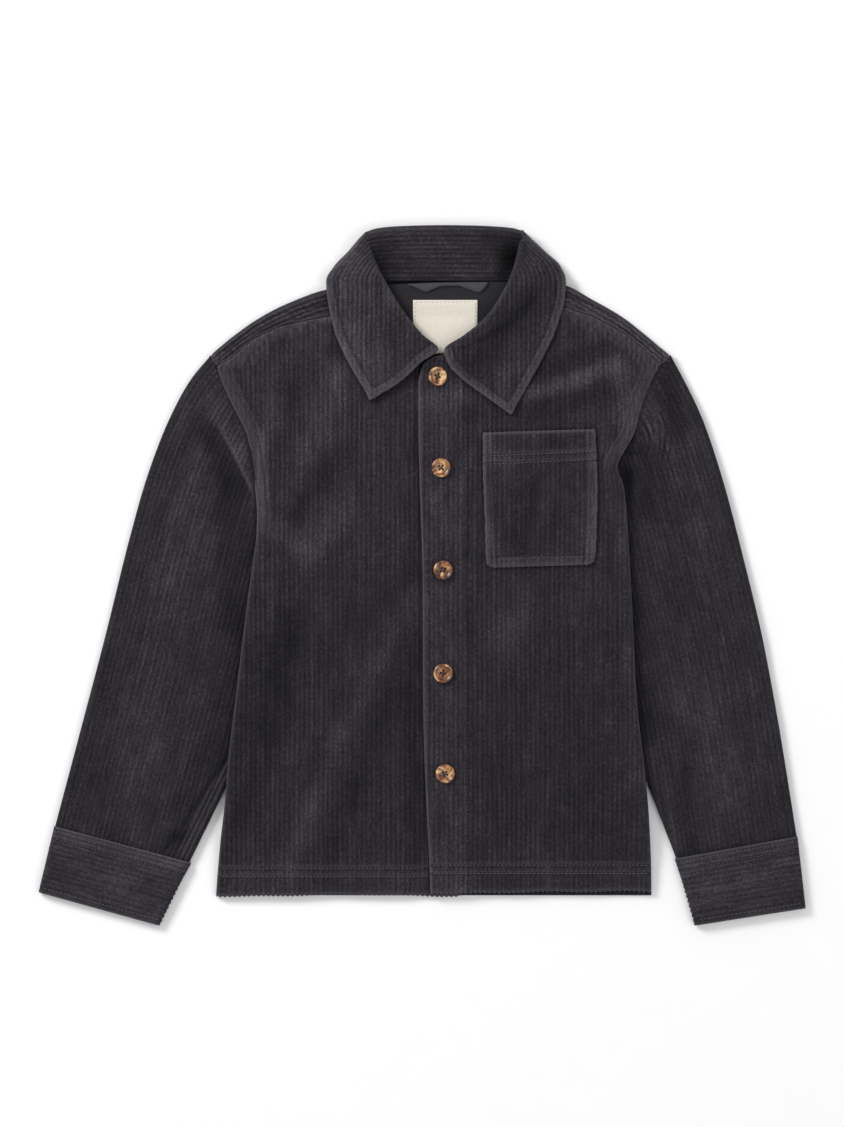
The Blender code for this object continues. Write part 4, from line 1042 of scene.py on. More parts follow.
def thread(name, colour):
    """Twisted sewing thread."""
    material, tree, shader = new_material(name)
    twist = noise(tree, node(tree, "ShaderNodeTexCoord").outputs["Object"], 2600.0)
    tone = ramp(tree, twist, ((0.3, tuple(c * 0.7 for c in colour)), (0.7, tuple(c * 1.35 for c in colour))))
    tree.links.new(tone, shader.inputs["Base Color"])
    shader.inputs["Roughness"].default_value = 0.6
    shader.inputs["Sheen Weight"].default_value = 0.2
    add_bump(tree, shader, twist, 0.3, 0.0001)
    return material


def tortoiseshell():
    """Polished brown resin with cream and dark clouds that run on through all the buttons."""
    material, tree, shader = new_material("tortoiseshell")
    space = node(tree, "ShaderNodeTexCoord").outputs["Object"]
    clouds = noise(tree, space, 105.0, distortion=1.4)
    fine = noise(tree, space, 420.0, 4.0, distortion=0.6)
    large = math_node(tree, "MULTIPLY", clouds, 0.82)
    small = math_node(tree, "MULTIPLY", fine, 0.18)
    mixed = math_node(tree, "ADD", large, small)
    tone = ramp(tree, mixed, (
        (0.38, (0.040, 0.012, 0.006)),
        (0.46, (0.150, 0.050, 0.017)),
        (0.53, (0.330, 0.140, 0.048)),
        (0.60, (0.700, 0.450, 0.220)),
    ))
    # Painted shade: darker on the outer wall and in the holes
    edge = node(tree, "ShaderNodeAttribute", {"attribute_type": "GEOMETRY", "attribute_name": "turned"})
    dark = mix_colour(tree, edge.outputs["Fac"], tone, (0.030, 0.011, 0.006))
    tree.links.new(dark, shader.inputs["Base Color"])
    shader.inputs["Roughness"].default_value = 0.34
    shader.inputs["Coat Weight"].default_value = 0.25
    shader.inputs["Coat Roughness"].default_value = 0.16
    shader.inputs["Subsurface Weight"].default_value = 0.08
    shader.inputs["Subsurface Scale"].default_value = 0.002
    add_bump(tree, shader, fine, 0.08, 0.0003)
    return material


CORD = corduroy("corduroy_wales")
CUFF_CORD = corduroy("corduroy_cuff", pitch=CUFF_PITCH, contrast=0.7)
STAND_CORD = corduroy("corduroy_stand", depth=1.1)
LEAF_CORD = corduroy("corduroy_leaf", depth=1.0)
SLEEVE_CORD = corduroy("corduroy_sleeve", contrast=0.9, depth=0.6)
YOKE_CORD = corduroy("corduroy_yoke", contrast=1.3, depth=1.5)
PLAIN = woven("plain_weave_grey", (0.0168, 0.0151, 0.0176), 0.55, 0.16, 0.85, 0.15)
CREAM = woven("label_cream", (0.73, 0.68, 0.59), 0.5, 0.07, 0.8, 0.12)
TAPE = woven("tape_slate", (0.046, 0.047, 0.055), 0.9, 0.2, 0.6, 0.2)
DARK_THREAD = thread("thread_charcoal", (0.040, 0.036, 0.042))
PALE_THREAD = thread("thread_slate", (0.060, 0.055, 0.062))
BUTTON_THREAD = thread("thread_dark_brown", (0.014, 0.011, 0.011))
LABEL_THREAD = thread("thread_label", (0.05, 0.045, 0.045))


def pocket_tilt(x):
    """How far the pocket, sewn on a little out of level, rises at a place across it."""
    return POCKET_SLOPE * (x - POCKET_MIDDLE)


def pocket_line():
    """Edge of the pocket all round."""
    inner = [(row[1], row[0]) for row in POCKET]
    outer = [(row[2], row[0]) for row in reversed(POCKET)]
    return [(x, y + pocket_tilt(x)) for x, y in (*inner, *outer, inner[0])]


POCKET_LINE = pocket_line()


def leaf_line(table):
    """Free edge of a collar leaf, from the back round its tip to the V."""
    outer = [(row[2], row[0]) for row in reversed(table)]
    return outer + [(row[1], row[0]) for row in table if row[0] < 182.0]


LEAF_LINE_RIGHT = leaf_line(LEAF_RIGHT)
LEAF_LINE_LEFT = leaf_line(LEAF_LEFT)


# Fronts


def slope_share(edge, rows):
    """Turns a distance across into a distance square to a slanting edge."""
    slope = np.gradient(edge, rows)
    return 1.0 / np.sqrt(1.0 + slope * slope)


def leaf_shadow(x, y, right=0.9, left=0.9):
    """Painted shadow beside the collar's leaves."""
    beside_right = np.exp(-line_distance(x, y, LEAF_LINE_RIGHT) / 2.6)
    return right * beside_right + left * np.exp(-line_distance(x, y, LEAF_LINE_LEFT) / 2.6)


def body_edges(y):
    """Edges of the body at its sides and armholes."""
    low = np.where(y <= SIDE_TOP, curve(BODY_SIDES, y, 1), curve(ARMHOLE_RIGHT, y))
    high = np.where(y <= SIDE_TOP, curve(BODY_SIDES, y, 2), curve(ARMHOLE_LEFT, y))
    return low, high


def right_edges(y):
    seam = tuple((row[2], row[0]) for row in SHOULDER if row[0] > -161.0)
    low = np.where(y > SHOULDER_Y, straight(seam, y), body_edges(y)[0])
    return low, straight(RIGHT_FRONT_FREE, y)


def left_edges(y):
    seam = tuple((row[2], row[0]) for row in reversed(SHOULDER_FAR) if 100.0 < row[0] < 186.0)
    high = np.where(y > SHOULDER_Y, straight(seam, y), body_edges(y)[1])
    return np.where(y < 155.0, curve(LEFT_FRONT_FREE, y), straight(LEFT_FRONT_FREE, y)), high


def wander(x, y):
    """Wales wave a little, and bend round the tuck at the left underarm."""
    soft = 0.45 * ripple(x * 0.5, y, 160.0, 11)
    notch = -6.0 * np.exp(-((y - 88.0) / 13.0) ** 2) * np.exp(-np.abs(158.0 - x) / 14.0)
    shoulder = 3.2 * np.exp(-((y - 128.0) / 24.0) ** 2) * np.exp(-np.abs(150.0 - x) / 22.0)
    return x + soft + notch + shoulder


class Front:
    """Distances, heights and marks of a front's outer side."""

    def __init__(self, y_hem, y_top, top, edges, right):
        self.y_hem = y_hem
        self.top = top
        self.right = right
        self.underarm = UNDERARM_RIGHT if right else UNDERARM_LEFT
        self.ys = np.linspace(y_hem, y_top, 500)
        self.low, self.high = edges(self.ys)
        self.low_share = slope_share(self.low, self.ys)
        self.high_share = slope_share(self.high, self.ys)

    def distances(self, x, y):
        """Distance from the edge at the armhole and side, and from the free edge."""
        d_low = (x - np.interp(y, self.ys, self.low)) * np.interp(y, self.ys, self.low_share)
        d_high = (np.interp(y, self.ys, self.high) - x) * np.interp(y, self.ys, self.high_share)
        return (d_low, d_high) if self.right else (d_high, d_low)

    def facing(self, x, y):
        """Distance past the row of stitches that holds the facing."""
        return x - straight(FACING_STITCH, y)

    def armhole_share(self, y):
        return eased((y - self.underarm + 4.0) / 10.0)

    def hem_share(self, y, run=2.0):
        """1 in the doubled hem."""
        return eased((self.y_hem + HEM_ROWS[1] - y) / run)

    def height(self, x, y):
        x = np.asarray(x, float)
        y = np.asarray(y, float)
        z = self.top(x, y)
        side, free = self.distances(x, y)
        below = 1.0 - eased((y - self.underarm) / 25.0)
        seat = z - (lift(x, y) + CLOTH + CLEAR + 0.2)
        z = z - roll(side, 1.6 + 3.4 * below, 0.9 + (seat - 0.9) * below)
        # The seam allowance is turned to the body and stitched down twice
        dents = groove(side - ARMHOLE_ROWS[0], 0.35) + groove(side - ARMHOLE_ROWS[1], 0.45)
        z = z + self.armhole_share(y) * (0.7 * eased((ARMHOLE_BAND - side) / 2.0) - dents)
        if not self.right:
            z = z - roll(free, 2.0, 1.9) + 0.5 * eased((3.5 - free) / 3.0)
            z = z - groove(self.facing(x, y), 0.5)
        above = y - self.y_hem
        z = z - roll(above, 2.0, 1.7) - sum(groove(above - row, 0.4) for row in HEM_ROWS)
        return z + 0.6 * self.hem_share(y)

    def marks(self, x, y):
        side, free = self.distances(x, y)
        seam = self.armhole_share(y)
        above = y - self.y_hem
        # Painted sheen with rubbed pile along the armhole, its stitched band and the hem, and light lines
        # beside the hem rows
        rim = (0.50 + 0.25 * seam) * falloff(side, 1.6) + seam * 0.38 * eased((ARMHOLE_BAND - side) / 2.0)
        rim = rim + seam * 0.5 * sunk(side - ARMHOLE_BAND, 1.0) + 0.75 * falloff(above, 1.6)
        rim = rim + 0.35 * sum(sunk(above - row - 1.5, 0.8) for row in HEM_ROWS)
        dark = seam * (0.7 * sunk(side - ARMHOLE_ROWS[0]) + 1.0 * sunk(side - ARMHOLE_ROWS[1]))
        dark = dark + 0.8 * sum(sunk(above - row) for row in HEM_ROWS)
        # Lie of the pile with painted shade and light, darker toward the hem, and painted shadow beside the
        # collar's leaves
        shade = pile_lie_and_shading(BODY_PILE_AND_SHADING, x, y) - 0.20 * (1.0 - eased((y + 10.0) / 100.0)) + 0.06
        shade = shade - leaf_shadow(x, y, right=0.9 if self.right else 0.25)
        if self.right:
            # Shadow that the other front's edge leaves on the pile
            edge = curve(LEFT_FRONT_FREE, y)
            shade = shade - 0.9 * np.exp(-np.maximum(0.0, edge - x) / 2.5) * (x < edge + 2.0)
        else:
            facing = self.facing(x, y)
            # Painted highlight on the rolled free edge, and painted shadow round the pocket
            rim = rim + 0.9 * falloff(free, 1.8)
            dark = dark + 0.8 * sunk(facing)
            shade = shade - 1.0 * np.exp(-line_distance(x, y, POCKET_LINE) / 1.7)
            shade = shade + 0.28 * eased((1.0 - facing) / 2.0) + 0.2 * sunk(facing + 2.0, 1.5)
        return pile_marks(rim, dark, shade + 0.15 * self.hem_share(y))


def hem_wave(x):
    """How far the hem hangs below its straight line."""
    return 0.8 + 0.7 * np.sin(x / 27.0 + 0.6) + 0.35 * np.sin(x / 9.0) - 1.3 * eased((x - 120.0) / 50.0)


def build_front(name, y_low, y_high, edges, top, right):
    rows = rows_between(y_low, y_high, 3.4, [y_low + row for row in HEM_ROWS])
    low, high = edges(rows)
    columns = wale_columns(low.min(), high.max())
    front = Front(y_low, y_high, top, edges, right)
    sheet = Sheet(rows, low, high, columns, wander)
    under = Sheet(rows, low, high, columns[::4], wander)
    ribs = wale_height(sheet.wale)
    # The ribs are pressed a little flatter in the stitched hem
    top_z = front.height(sheet.across, sheet.along) + ribs * (1.0 - 0.25 * front.hem_share(sheet.along, 3.0))
    under_z = front.height(under.across, under.along) - THIN
    marks = front.marks(sheet.across, sheet.along)
    # The ends of the ribs show as bumps along the hem, which waves a little
    for layer, bumps in ((sheet, 2.5 * ribs), (under, 0.0)):
        to_hem = np.maximum(0.0, layer.along - y_low)
        wave = hem_wave(layer.across) * np.exp(-to_hem / 9.0)
        layer.along = layer.along - bumps * np.exp(-to_hem / 1.3) - wave
    piece = shell(name, sheet, under, top_z, under_z, CORD, marks)
    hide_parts(name)
    return piece, front


# Sleeves


def smoothed(values, half):
    """Running mean over a window of 2 half + 1 samples, with held ends."""
    wide = np.concatenate((np.full(half, values[0]), values, np.full(half, values[-1])))
    return np.convolve(wide, np.ones(2 * half + 1) / (2 * half + 1), mode="valid")


def step_past(before, point, reach):
    """A step onward past a point of the outer fold, from the one before it."""
    way = point[:2] - np.array(before)[:2]
    return way / np.hypot(*way) * reach


class Sleeve:
    """A laid sleeve, in lengths along its outer fold and distances in from it."""

    def __init__(self, table, armhole, underarm, hidden, shift, inward):
        # The sleeve runs on a little inside its cuff
        first = np.array(table[0])
        last = np.array(table[-1])
        backward = step_past(table[1], first, 1.6)
        onward = step_past(table[-2], last, 3.0)
        start = (*(first[:2] + backward), *first[2:])
        table = [start, *table[1:], (*(last[:2] + onward), *(last[2:] + onward))]
        numbered = [(k, *row) for k, row in enumerate(table)]
        t = np.linspace(0.0, len(table) - 1.0, 700)
        x = curve(numbered, t, 1)
        y = curve(numbered, t, 2)
        self.s = np.concatenate(([0.0], np.cumsum(np.hypot(np.diff(x), np.diff(y)))))
        even = np.linspace(0.0, self.s[-1], 500)
        self.x = np.interp(even, self.s, x)
        self.y = np.interp(even, self.s, y)
        self.s = even
        tx = smoothed(np.gradient(self.x), 14)
        ty = smoothed(np.gradient(self.y), 14)
        size = np.hypot(tx, ty)
        self.nx = -ty / size * inward
        self.ny = tx / size * inward
        seam = [(x0 + shift, y0) for y0, x0 in reversed(armhole) if underarm <= y0 < table[0][1] - 2.0]
        self.inner = [(table[0][0], table[0][1]), *seam, *hidden, *[(row[2], row[3]) for row in table]]
        self.underarm = underarm
        self.length = float(self.s[-1])
        self.reach_s = np.linspace(0.0, self.length, 260)
        self.reach_d = np.array([self.crossing(s) for s in self.reach_s])
        self.reach_d[0] = min(self.reach_d[0], 1.0)

    def foot(self, s):
        return (np.interp(s, self.s, self.x), np.interp(s, self.s, self.y),
                np.interp(s, self.s, self.nx), np.interp(s, self.s, self.ny))

    def point(self, s, d):
        x, y, nx, ny = self.foot(s)
        return x + nx * d, y + ny * d

    def crossing(self, s):
        """Distance at which a line square to the outer fold leaves the sleeve."""
        x, y, nx, ny = self.foot(s)
        best = None
        for (ax, ay), (bx, by) in zip(self.inner, self.inner[1:]):
            ex = bx - ax
            ey = by - ay
            cross = nx * ey - ny * ex
            if abs(cross) < 1e-9:
                continue
            d = ((ax - x) * ey - (ay - y) * ex) / cross
            share = ((ax - x) * ny - (ay - y) * nx) / cross
            if -0.02 <= share <= 1.02 and d > -0.5 and (best is None or d < best):
                best = d
        if best is None:
            (ax, ay) = self.inner[-1]
            best = math.hypot(ax - x, ay - y)
        return max(best, 0.6)

    def reach(self, s):
        return np.interp(s, self.reach_s, self.reach_d)


def strip_share(x, y, from_inner):
    """1 near the wearer's right cuff, on the strip where the wales run along the inner seam."""
    crease_x = straight(tuple((py, px) for px, py in CUFF_CREASE), y)
    inside = (x > crease_x) & (y < -137.7) & (x < 0.0) & (from_inner < 22.0)
    return inside * 1.0


def flap_fade(y):
    return eased((y - 58.0) / 14.0) * (1.0 - eased((y - 108.0) / 18.0))


def flap_step(x, y):
    """A fold of the sleeve that lies over itself and ends sharply, beside the armhole."""
    fade = flap_fade(y)
    off = x - straight(FLAP_FOLD, y)
    return fade * np.where(off > 0.0, 1.0 - eased((off - 6.0) / 22.0), 1.0 - eased(-off / 1.6))


def gather_window(x, y):
    """Where the wales of the wearer's left sleeve bunch up beside the armhole."""
    dx = x - GATHER_AT[0]
    dy = y - GATHER_AT[1]
    r = np.hypot(dx, dy)
    angle = np.degrees(np.arctan2(dy, dx))
    window = eased((angle + 26.0) / 18.0) * (1.0 - eased((angle - 34.0) / 20.0))
    return r, window * eased((r - 22.0) / 5.0) * (1.0 - eased((r - 41.0) / 13.0))


def gathers(x, y):
    r, window = gather_window(x, y)
    uneven = 0.72 + 0.55 * ripple(x, y, 15.0, 31)
    place = r - 0.10 * (y - GATHER_AT[1]) + 1.3 * ripple(x, y, 24.0, 32)
    return window * uneven * np.cos(2.0 * np.pi * place / 4.4)


def sleeve_top_height(x, y, s, layout):
    """Upper side of a sleeve without its ribs. It dips at the armhole and where it meets the cuff."""
    z = SLEEVE_TOP + fold_height(SLEEVE_FOLDS, x, y) + fold_height(FINE_SLEEVE_FOLDS, x, y)
    z = z + 0.30 * ripple(x, y, 62.0, 21) + 0.10 * ripple(x, y * 0.7, 22.0, 22)
    z = z + np.where(x < 0.0, 2.2 * flap_step(x, y), 0.70 * gathers(x, y))
    # Hollow where the body's side fold meets the underarm
    z = z - np.where(x > 0.0, 2.6 * bell(x, y, 162.0, 76.0, 6.0, 13.0), 0.0)
    return z - 1.2 * np.exp(-(layout.length - np.asarray(s)) / 4.0)


def sleeve_ring(layout, s, wide, columns, arc, inset):
    """One row round a sleeve: under, outer fold, upper side, inner fold. Inset rows make its inner side."""
    rib_scale = 1.0 if inset == 0.0 else 0.0
    depth = min(SLEEVE_FOLD, wide * 0.42)
    inner = wide - depth
    top_d = columns[(columns > depth + 0.1) & (columns < inner - 0.1)]
    d = np.concatenate(([depth], top_d, [inner]))
    x, y = layout.point(s, d)
    z = sleeve_top_height(x, y, s, layout) - inset
    low = inset * 0.6
    entries = []

    def add(off, height, wale, top):
        px, py = layout.point(s, off)
        entries.extend(zip(px, py, height, wale, np.full(len(off), top), off))

    low_d = np.linspace(inner, depth, 15)
    add(low_d, np.full(len(low_d), low), low_d, 0.0)
    bend = max(0.3, depth - inset)
    middle = (z[0] + low) / 2.0
    half = (z[0] - low) / 2.0
    wale = depth - (math.pi / 2.0 - arc) * depth
    rib = wale_height(wale) * rib_scale
    lean = np.where(np.sin(arc) < 0.0, half, half + rib)
    add(depth - (bend + rib) * np.cos(arc), middle + lean * np.sin(arc), wale, 1.0)
    strip = strip_share(x, y, wide - d)
    across = np.where(strip > 0.5, wide - d, d)
    calm = 1.0 - 0.8 * gather_window(x, y)[1] if x[0] > 0.0 else 1.0
    px, py = layout.point(s, d)
    entries.extend(zip(px, py, z + wale_height(across) * calm * rib_scale, across, np.ones(len(d)), d))
    back = arc[::-1]
    middle = (z[-1] + low) / 2.0
    half = (z[-1] - low) / 2.0
    wale = inner + (math.pi / 2.0 - back) * depth
    rib = wale_height(wale) * rib_scale
    height = middle + half * np.sin(back) + rib * np.maximum(0.0, np.sin(back))
    add(inner + (bend + rib * 0.3) * np.cos(back), height, wale, 1.0)
    lead = 15 + len(arc)
    skipped = int(np.sum(columns <= depth + 0.1))
    last_top = lead + 1 + len(top_d)
    numbers = list(range(lead + 1))
    numbers += [lead] * skipped
    numbers += list(range(lead + 1, lead + 1 + len(top_d)))
    numbers += [last_top] * (len(columns) - skipped - len(top_d) + 1)
    numbers += list(range(last_top + 1, len(entries)))
    numbers.append(0)
    return entries, numbers


def build_sleeve(name, layout, pile):
    # Closer rows toward the cuff
    turn = layout.length - 95.0
    close_rows = np.arange(turn, layout.length, 2.0)
    rows = np.unique(np.concatenate((rows_between(0.0, turn, 3.0), close_rows, [layout.length])))
    reach = layout.reach(rows)
    step = WALE / WALE_STEPS
    columns = np.arange(1, math.ceil(reach.max() / step)) * step
    entries = []
    layers = []
    for inset, lines, turns in ((0.0, columns, 19), (THIN, columns[::4], 9)):
        arc = np.linspace(-90.0, 90.0, turns)[1:-1] * math.pi / 180.0
        ids = []
        for s, wide in zip(rows, reach):
            ring, numbers = sleeve_ring(layout, s, wide, lines, arc, inset)
            start = len(entries)
            entries += [(*entry, s, wide, inset == 0.0) for entry in ring]
            ids.append([start + n for n in numbers])
        layers.append(np.array(ids))
    faces = []
    patch_faces(layers[0], faces)
    patch_faces(layers[1], faces, flip=True)
    for r in (0, -1):
        runs = []
        for layer in layers:
            kept = [layer[r][0]]
            for n in layer[r][1:]:
                if n != kept[-1]:
                    kept.append(n)
            spots = np.array([entries[n][:3] for n in kept])
            places = np.concatenate(([0.0], np.cumsum(np.linalg.norm(np.diff(spots, axis=0), axis=1))))
            runs.append([(p / places[-1], int(n)) for p, n in zip(places, kept)])
        zip_strip(faces, runs[0], runs[1])
    data = np.array(entries, float)
    points = data[:, :3]
    uv = data[:, (3, 6)]
    on_top = data[:, 4] * data[:, 8]
    seam = data[:, 7] - data[:, 5]
    s = data[:, 6]
    x = points[:, 0]
    y = points[:, 1]
    # Painted shade where the sleeve runs under the body at the underarm and into the cuff, and painted sheen
    # along the outer fold
    near = on_top * eased((y - layout.underarm + 6.0) / 12.0)
    dark = near * 0.85 * falloff(seam - SLEEVE_FOLD, 1.6)
    dark = dark + on_top * 0.7 * falloff(layout.length - 3.0 - s, 1.4)
    rim = on_top * 0.30 * falloff(data[:, 5] + SLEEVE_FOLD, 3.0)
    shade = on_top * pile_lie_and_shading(pile, x, y)
    # Shadow of the body's side fold
    beside = np.where(x < 0.0, curve(BODY_SIDES, y, 1) - x, x - curve(BODY_SIDES, y, 2))
    shade = shade - on_top * (1.0 - near) * 0.8 * np.exp(-np.maximum(0.0, beside) / 3.5)
    if layout.x[0] < 0.0:
        # Painted highlight on the edge of the flap's fold and painted shadow below it
        off = x - straight(FLAP_FOLD, y)
        fade = flap_fade(y)
        rim = rim + on_top * 0.75 * fade * falloff(np.abs(off - 1.0), 1.3)
        shade = shade - on_top * 1.0 * fade * np.exp(-np.maximum(0.0, -off - 1.0) / 4.5) * (off < 0.0)
        # Crease near the cuff, past which the cloth follows the inner seam. The crease gets a painted dark
        # line and painted shade, and its tip a painted shadow.
        crease = line_distance(x, y, CUFF_CREASE)
        dark = dark + on_top * falloff(crease, 1.7)
        shade = shade - on_top * 1.1 * np.exp(-crease / 3.0) * (1.0 - strip_share(x, y, seam))
        shade = shade - on_top * 1.2 * bell(x, y, -190.0, -200.0, 7.0, 4.5)
        # Painted highlights on the crests of the strip's wales and painted shade between them
        crest = 2.0 * np.abs((seam / WALE) % 1.0 - 0.5)
        rim = rim + on_top * 0.62 * strip_share(x, y, seam) * crest ** 4 * eased((15.0 - seam) / 6.0)
        shade = shade - on_top * 0.35 * strip_share(x, y, seam) * (1.0 - crest)
    else:
        # Painted light and shade on the gathers' crests and hollows, and painted shade in the hollow at the
        # underarm
        shade = shade + on_top * (0.60 * gathers(x, y) + 0.2 * gather_window(x, y)[1])
        shade = shade - on_top * 1.5 * bell(x, y, 160.5, 79.0, 4.0, 9.0)
    piece = finish_mesh(name, points, faces, uv, SLEEVE_CORD, pile_marks(rim, dark, shade))
    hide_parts(name)
    return piece


def cuff_line(corners, share):
    """Ends of the line across a cuff at a share of its depth."""
    (ax, ay, bx, by), (cx, cy, dx, dy) = corners
    one = np.array((ax + (cx - ax) * share, ay + (cy - ay) * share))
    two = np.array((bx + (dx - bx) * share, by + (dy - by) * share))
    return one, two


def cuff_ring(length, high, low, rib):
    """Places along a cuff, heights and lengths of cloth, all round it. Only the upper side is soft."""
    depth = SLEEVE_FOLD
    arc = np.linspace(-90.0, 90.0, 15) * math.pi / 180.0

    def bent(a):
        if a > 0:
            return high / 2.0 + (high / 2.0 + rib) * math.sin(a)
        return high / 2.0 * (1.0 + math.sin(a)) + 0.02

    ring = [(at, low, length - at, 0.0) for at in np.linspace(length - depth, depth, 12)]
    for a in arc[1:]:
        at = depth - (depth + rib * 1.9) * math.cos(a)
        ring.append((at, bent(a), length + (a + math.pi / 2.0) * depth, 0.0))
    ring += [(at, high + rib, length * 1.1 + at, 0.25) for at in np.linspace(depth, length - depth, 30)[1:]]
    for a in arc[::-1][1:-1]:
        at = length - depth + (depth + rib * 1.9) * math.cos(a)
        ring.append((at, bent(a), length * 2.1 + (math.pi / 2.0 - a) * depth, 0.0))
    return ring


def build_cuff(name, corners):
    """Closed cuff with its wales running round it."""
    count = CUFF_WALES * WALE_STEPS
    points = []
    uv = []
    marks = []
    ids = []
    for k in range(count + 1):
        share = k / count
        across = share * CUFF_DEEP
        rib = float(wale_height(np.array(across), CUFF_PITCH)) * 0.9
        one, two = cuff_line(corners, share)
        length = float(np.hypot(*(two - one)))
        way = (two - one) / length
        to_edge = min(across, CUFF_DEEP - across)
        edge = roll(to_edge, 1.8, 1.7)
        high = CUFF_TOP - edge - sum(groove(across - row, dent) for row, dent, _ in CUFF_ROWS)
        # Painted sheen with rubbed pile along the cuff's edges and, below, its side folds
        rim = 0.75 * falloff(to_edge, 1.5)
        dark = sum(line * sunk(across - row) for row, _, line in CUFF_ROWS)
        shade = 0.52 + 0.45 * float(eased((9.5 - across) / 2.0)) - 0.10 * float(eased((across - 14.0) / 10.0))
        start = len(points)
        for at, z, v, soft in cuff_ring(length, high, 0.02 + edge * 0.3, rib):
            x, y = one + way * at
            points.append((x, y, z + soft * float(ripple(x, y, 34.0, 31))))
            uv.append((across, v))
            to_fold = min(at + SLEEVE_FOLD, length + SLEEVE_FOLD - at)
            side = 0.45 * float(falloff(to_fold, 2.2))
            marks.append((min(1.0, rim + side), dark, shade + 0.2 * float(ripple(x, y, 40.0, 33))))
        ids.append(list(range(start, len(points))) + [start])
    faces = []
    patch_faces(np.array(ids), faces)
    # The mouth turns in to an inner side
    along = (cuff_line(corners, 1.0)[0] - cuff_line(corners, 0.0)[0]) / CUFF_DEEP
    inner_rings = []
    for ring, across_in in ((ids[0], 2.0), (ids[-1], -8.0)):
        middle = np.mean([points[n][2] for n in ring[:-1]])
        start = len(points)
        for n in ring[:-1]:
            x, y, z = points[n]
            shift = along * across_in
            points.append((x + shift[0], y + shift[1], middle + (z - middle) * 0.45))
            uv.append((uv[n][0] + across_in, uv[n][1]))
            # Painted shade on the inner side of the mouth
            marks.append((0.0, 0.4, -0.8))
        inner_rings.append(list(range(start, len(points))) + [start])
        patch_faces(np.array((ring, inner_rings[-1])), faces)
    patch_faces(np.array(inner_rings), faces)
    piece = finish_mesh(name, points, faces, np.array(uv), CUFF_CORD, np.array(marks))
    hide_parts(name)
    return piece


# Back and yokes


def upright(c, y):
    """Wales that stand straight up."""
    return c + 0.0 * y


def build_back():
    """Plain panel that lies underneath. Its ribs show at the hem."""
    rows = rows_between(HEM_BACK, BACK_SEAM_Y, 6.0)
    low, high = body_edges(rows)
    columns = wale_columns(low.min(), high.max(), steps=4)
    sheet = Sheet(rows, low, high, columns, upright)
    under = Sheet(rows, low, high, columns[::4], upright)
    top_z = lift(sheet.across, sheet.along) + CLOTH - 0.35 + wale_height(sheet.wale) * 0.6
    top_z = top_z - roll(sheet.along - HEM_BACK, 1.0, 0.6)
    under_z = lift(under.across, under.along)
    piece = shell("back", sheet, under, top_z, under_z, CORD)
    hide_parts("back")
    return piece


def yoke_section(x, fold, seam, low):
    """One line over the yoke, from its lower layer over the shoulder fold to the front seam."""
    start = low + CLEAR
    depth = min(SLEEVE_FOLD, (fold - start) * 0.5)
    y_fold = fold - depth
    z_low = float(lift(x, y_fold))
    z_high = z_low + CLOTH + LOFT + CLOTH
    middle = (z_low + z_high) / 2.0
    half = (z_high - z_low) / 2.0
    line = []
    for y in np.linspace(start, y_fold, 16):
        line.append((y, float(lift(x, y)), y_fold - y + 12.0))
    for a in np.linspace(-90.0, 90.0, 17)[1:-1] * math.pi / 180.0:
        back = (math.pi / 2.0 - a) * depth
        rib = float(wale_height(np.array(-back))) * max(0.0, math.sin(a) * 0.5 + 0.5)
        y = y_fold + (depth + rib * math.cos(a)) * math.cos(a)
        line.append((y, middle + half * math.sin(a) + rib * max(0.0, math.sin(a)), -back))
    end = seam + SEAM
    length = max(0.4, y_fold - end)
    for along in np.linspace(0.0, length, 96):
        y = y_fold - along
        to_end = length - along
        z = z_high + float(lift(x, y)) - z_low
        z -= float(roll(np.array(to_end), 1.4, 0.9))
        z += 0.6 * float(eased((9.8 - to_end) / 2.0))
        z -= float(groove(np.array(to_end - 2.2), 0.4)) + float(groove(np.array(to_end - 8.2), 0.45))
        line.append((y, z + 1.35 * float(wale_height(np.array(along))), along))
    return line


def yoke_low(x):
    for table, sign in ((ARMHOLE_RIGHT, -1.0), (ARMHOLE_LEFT, 1.0)):
        edge = tuple((sign * row[1], row[0]) for row in table[4:])
        if sign * x > edge[0][0]:
            return max(BACK_SEAM_Y, float(straight(edge, sign * x)))
    return BACK_SEAM_Y


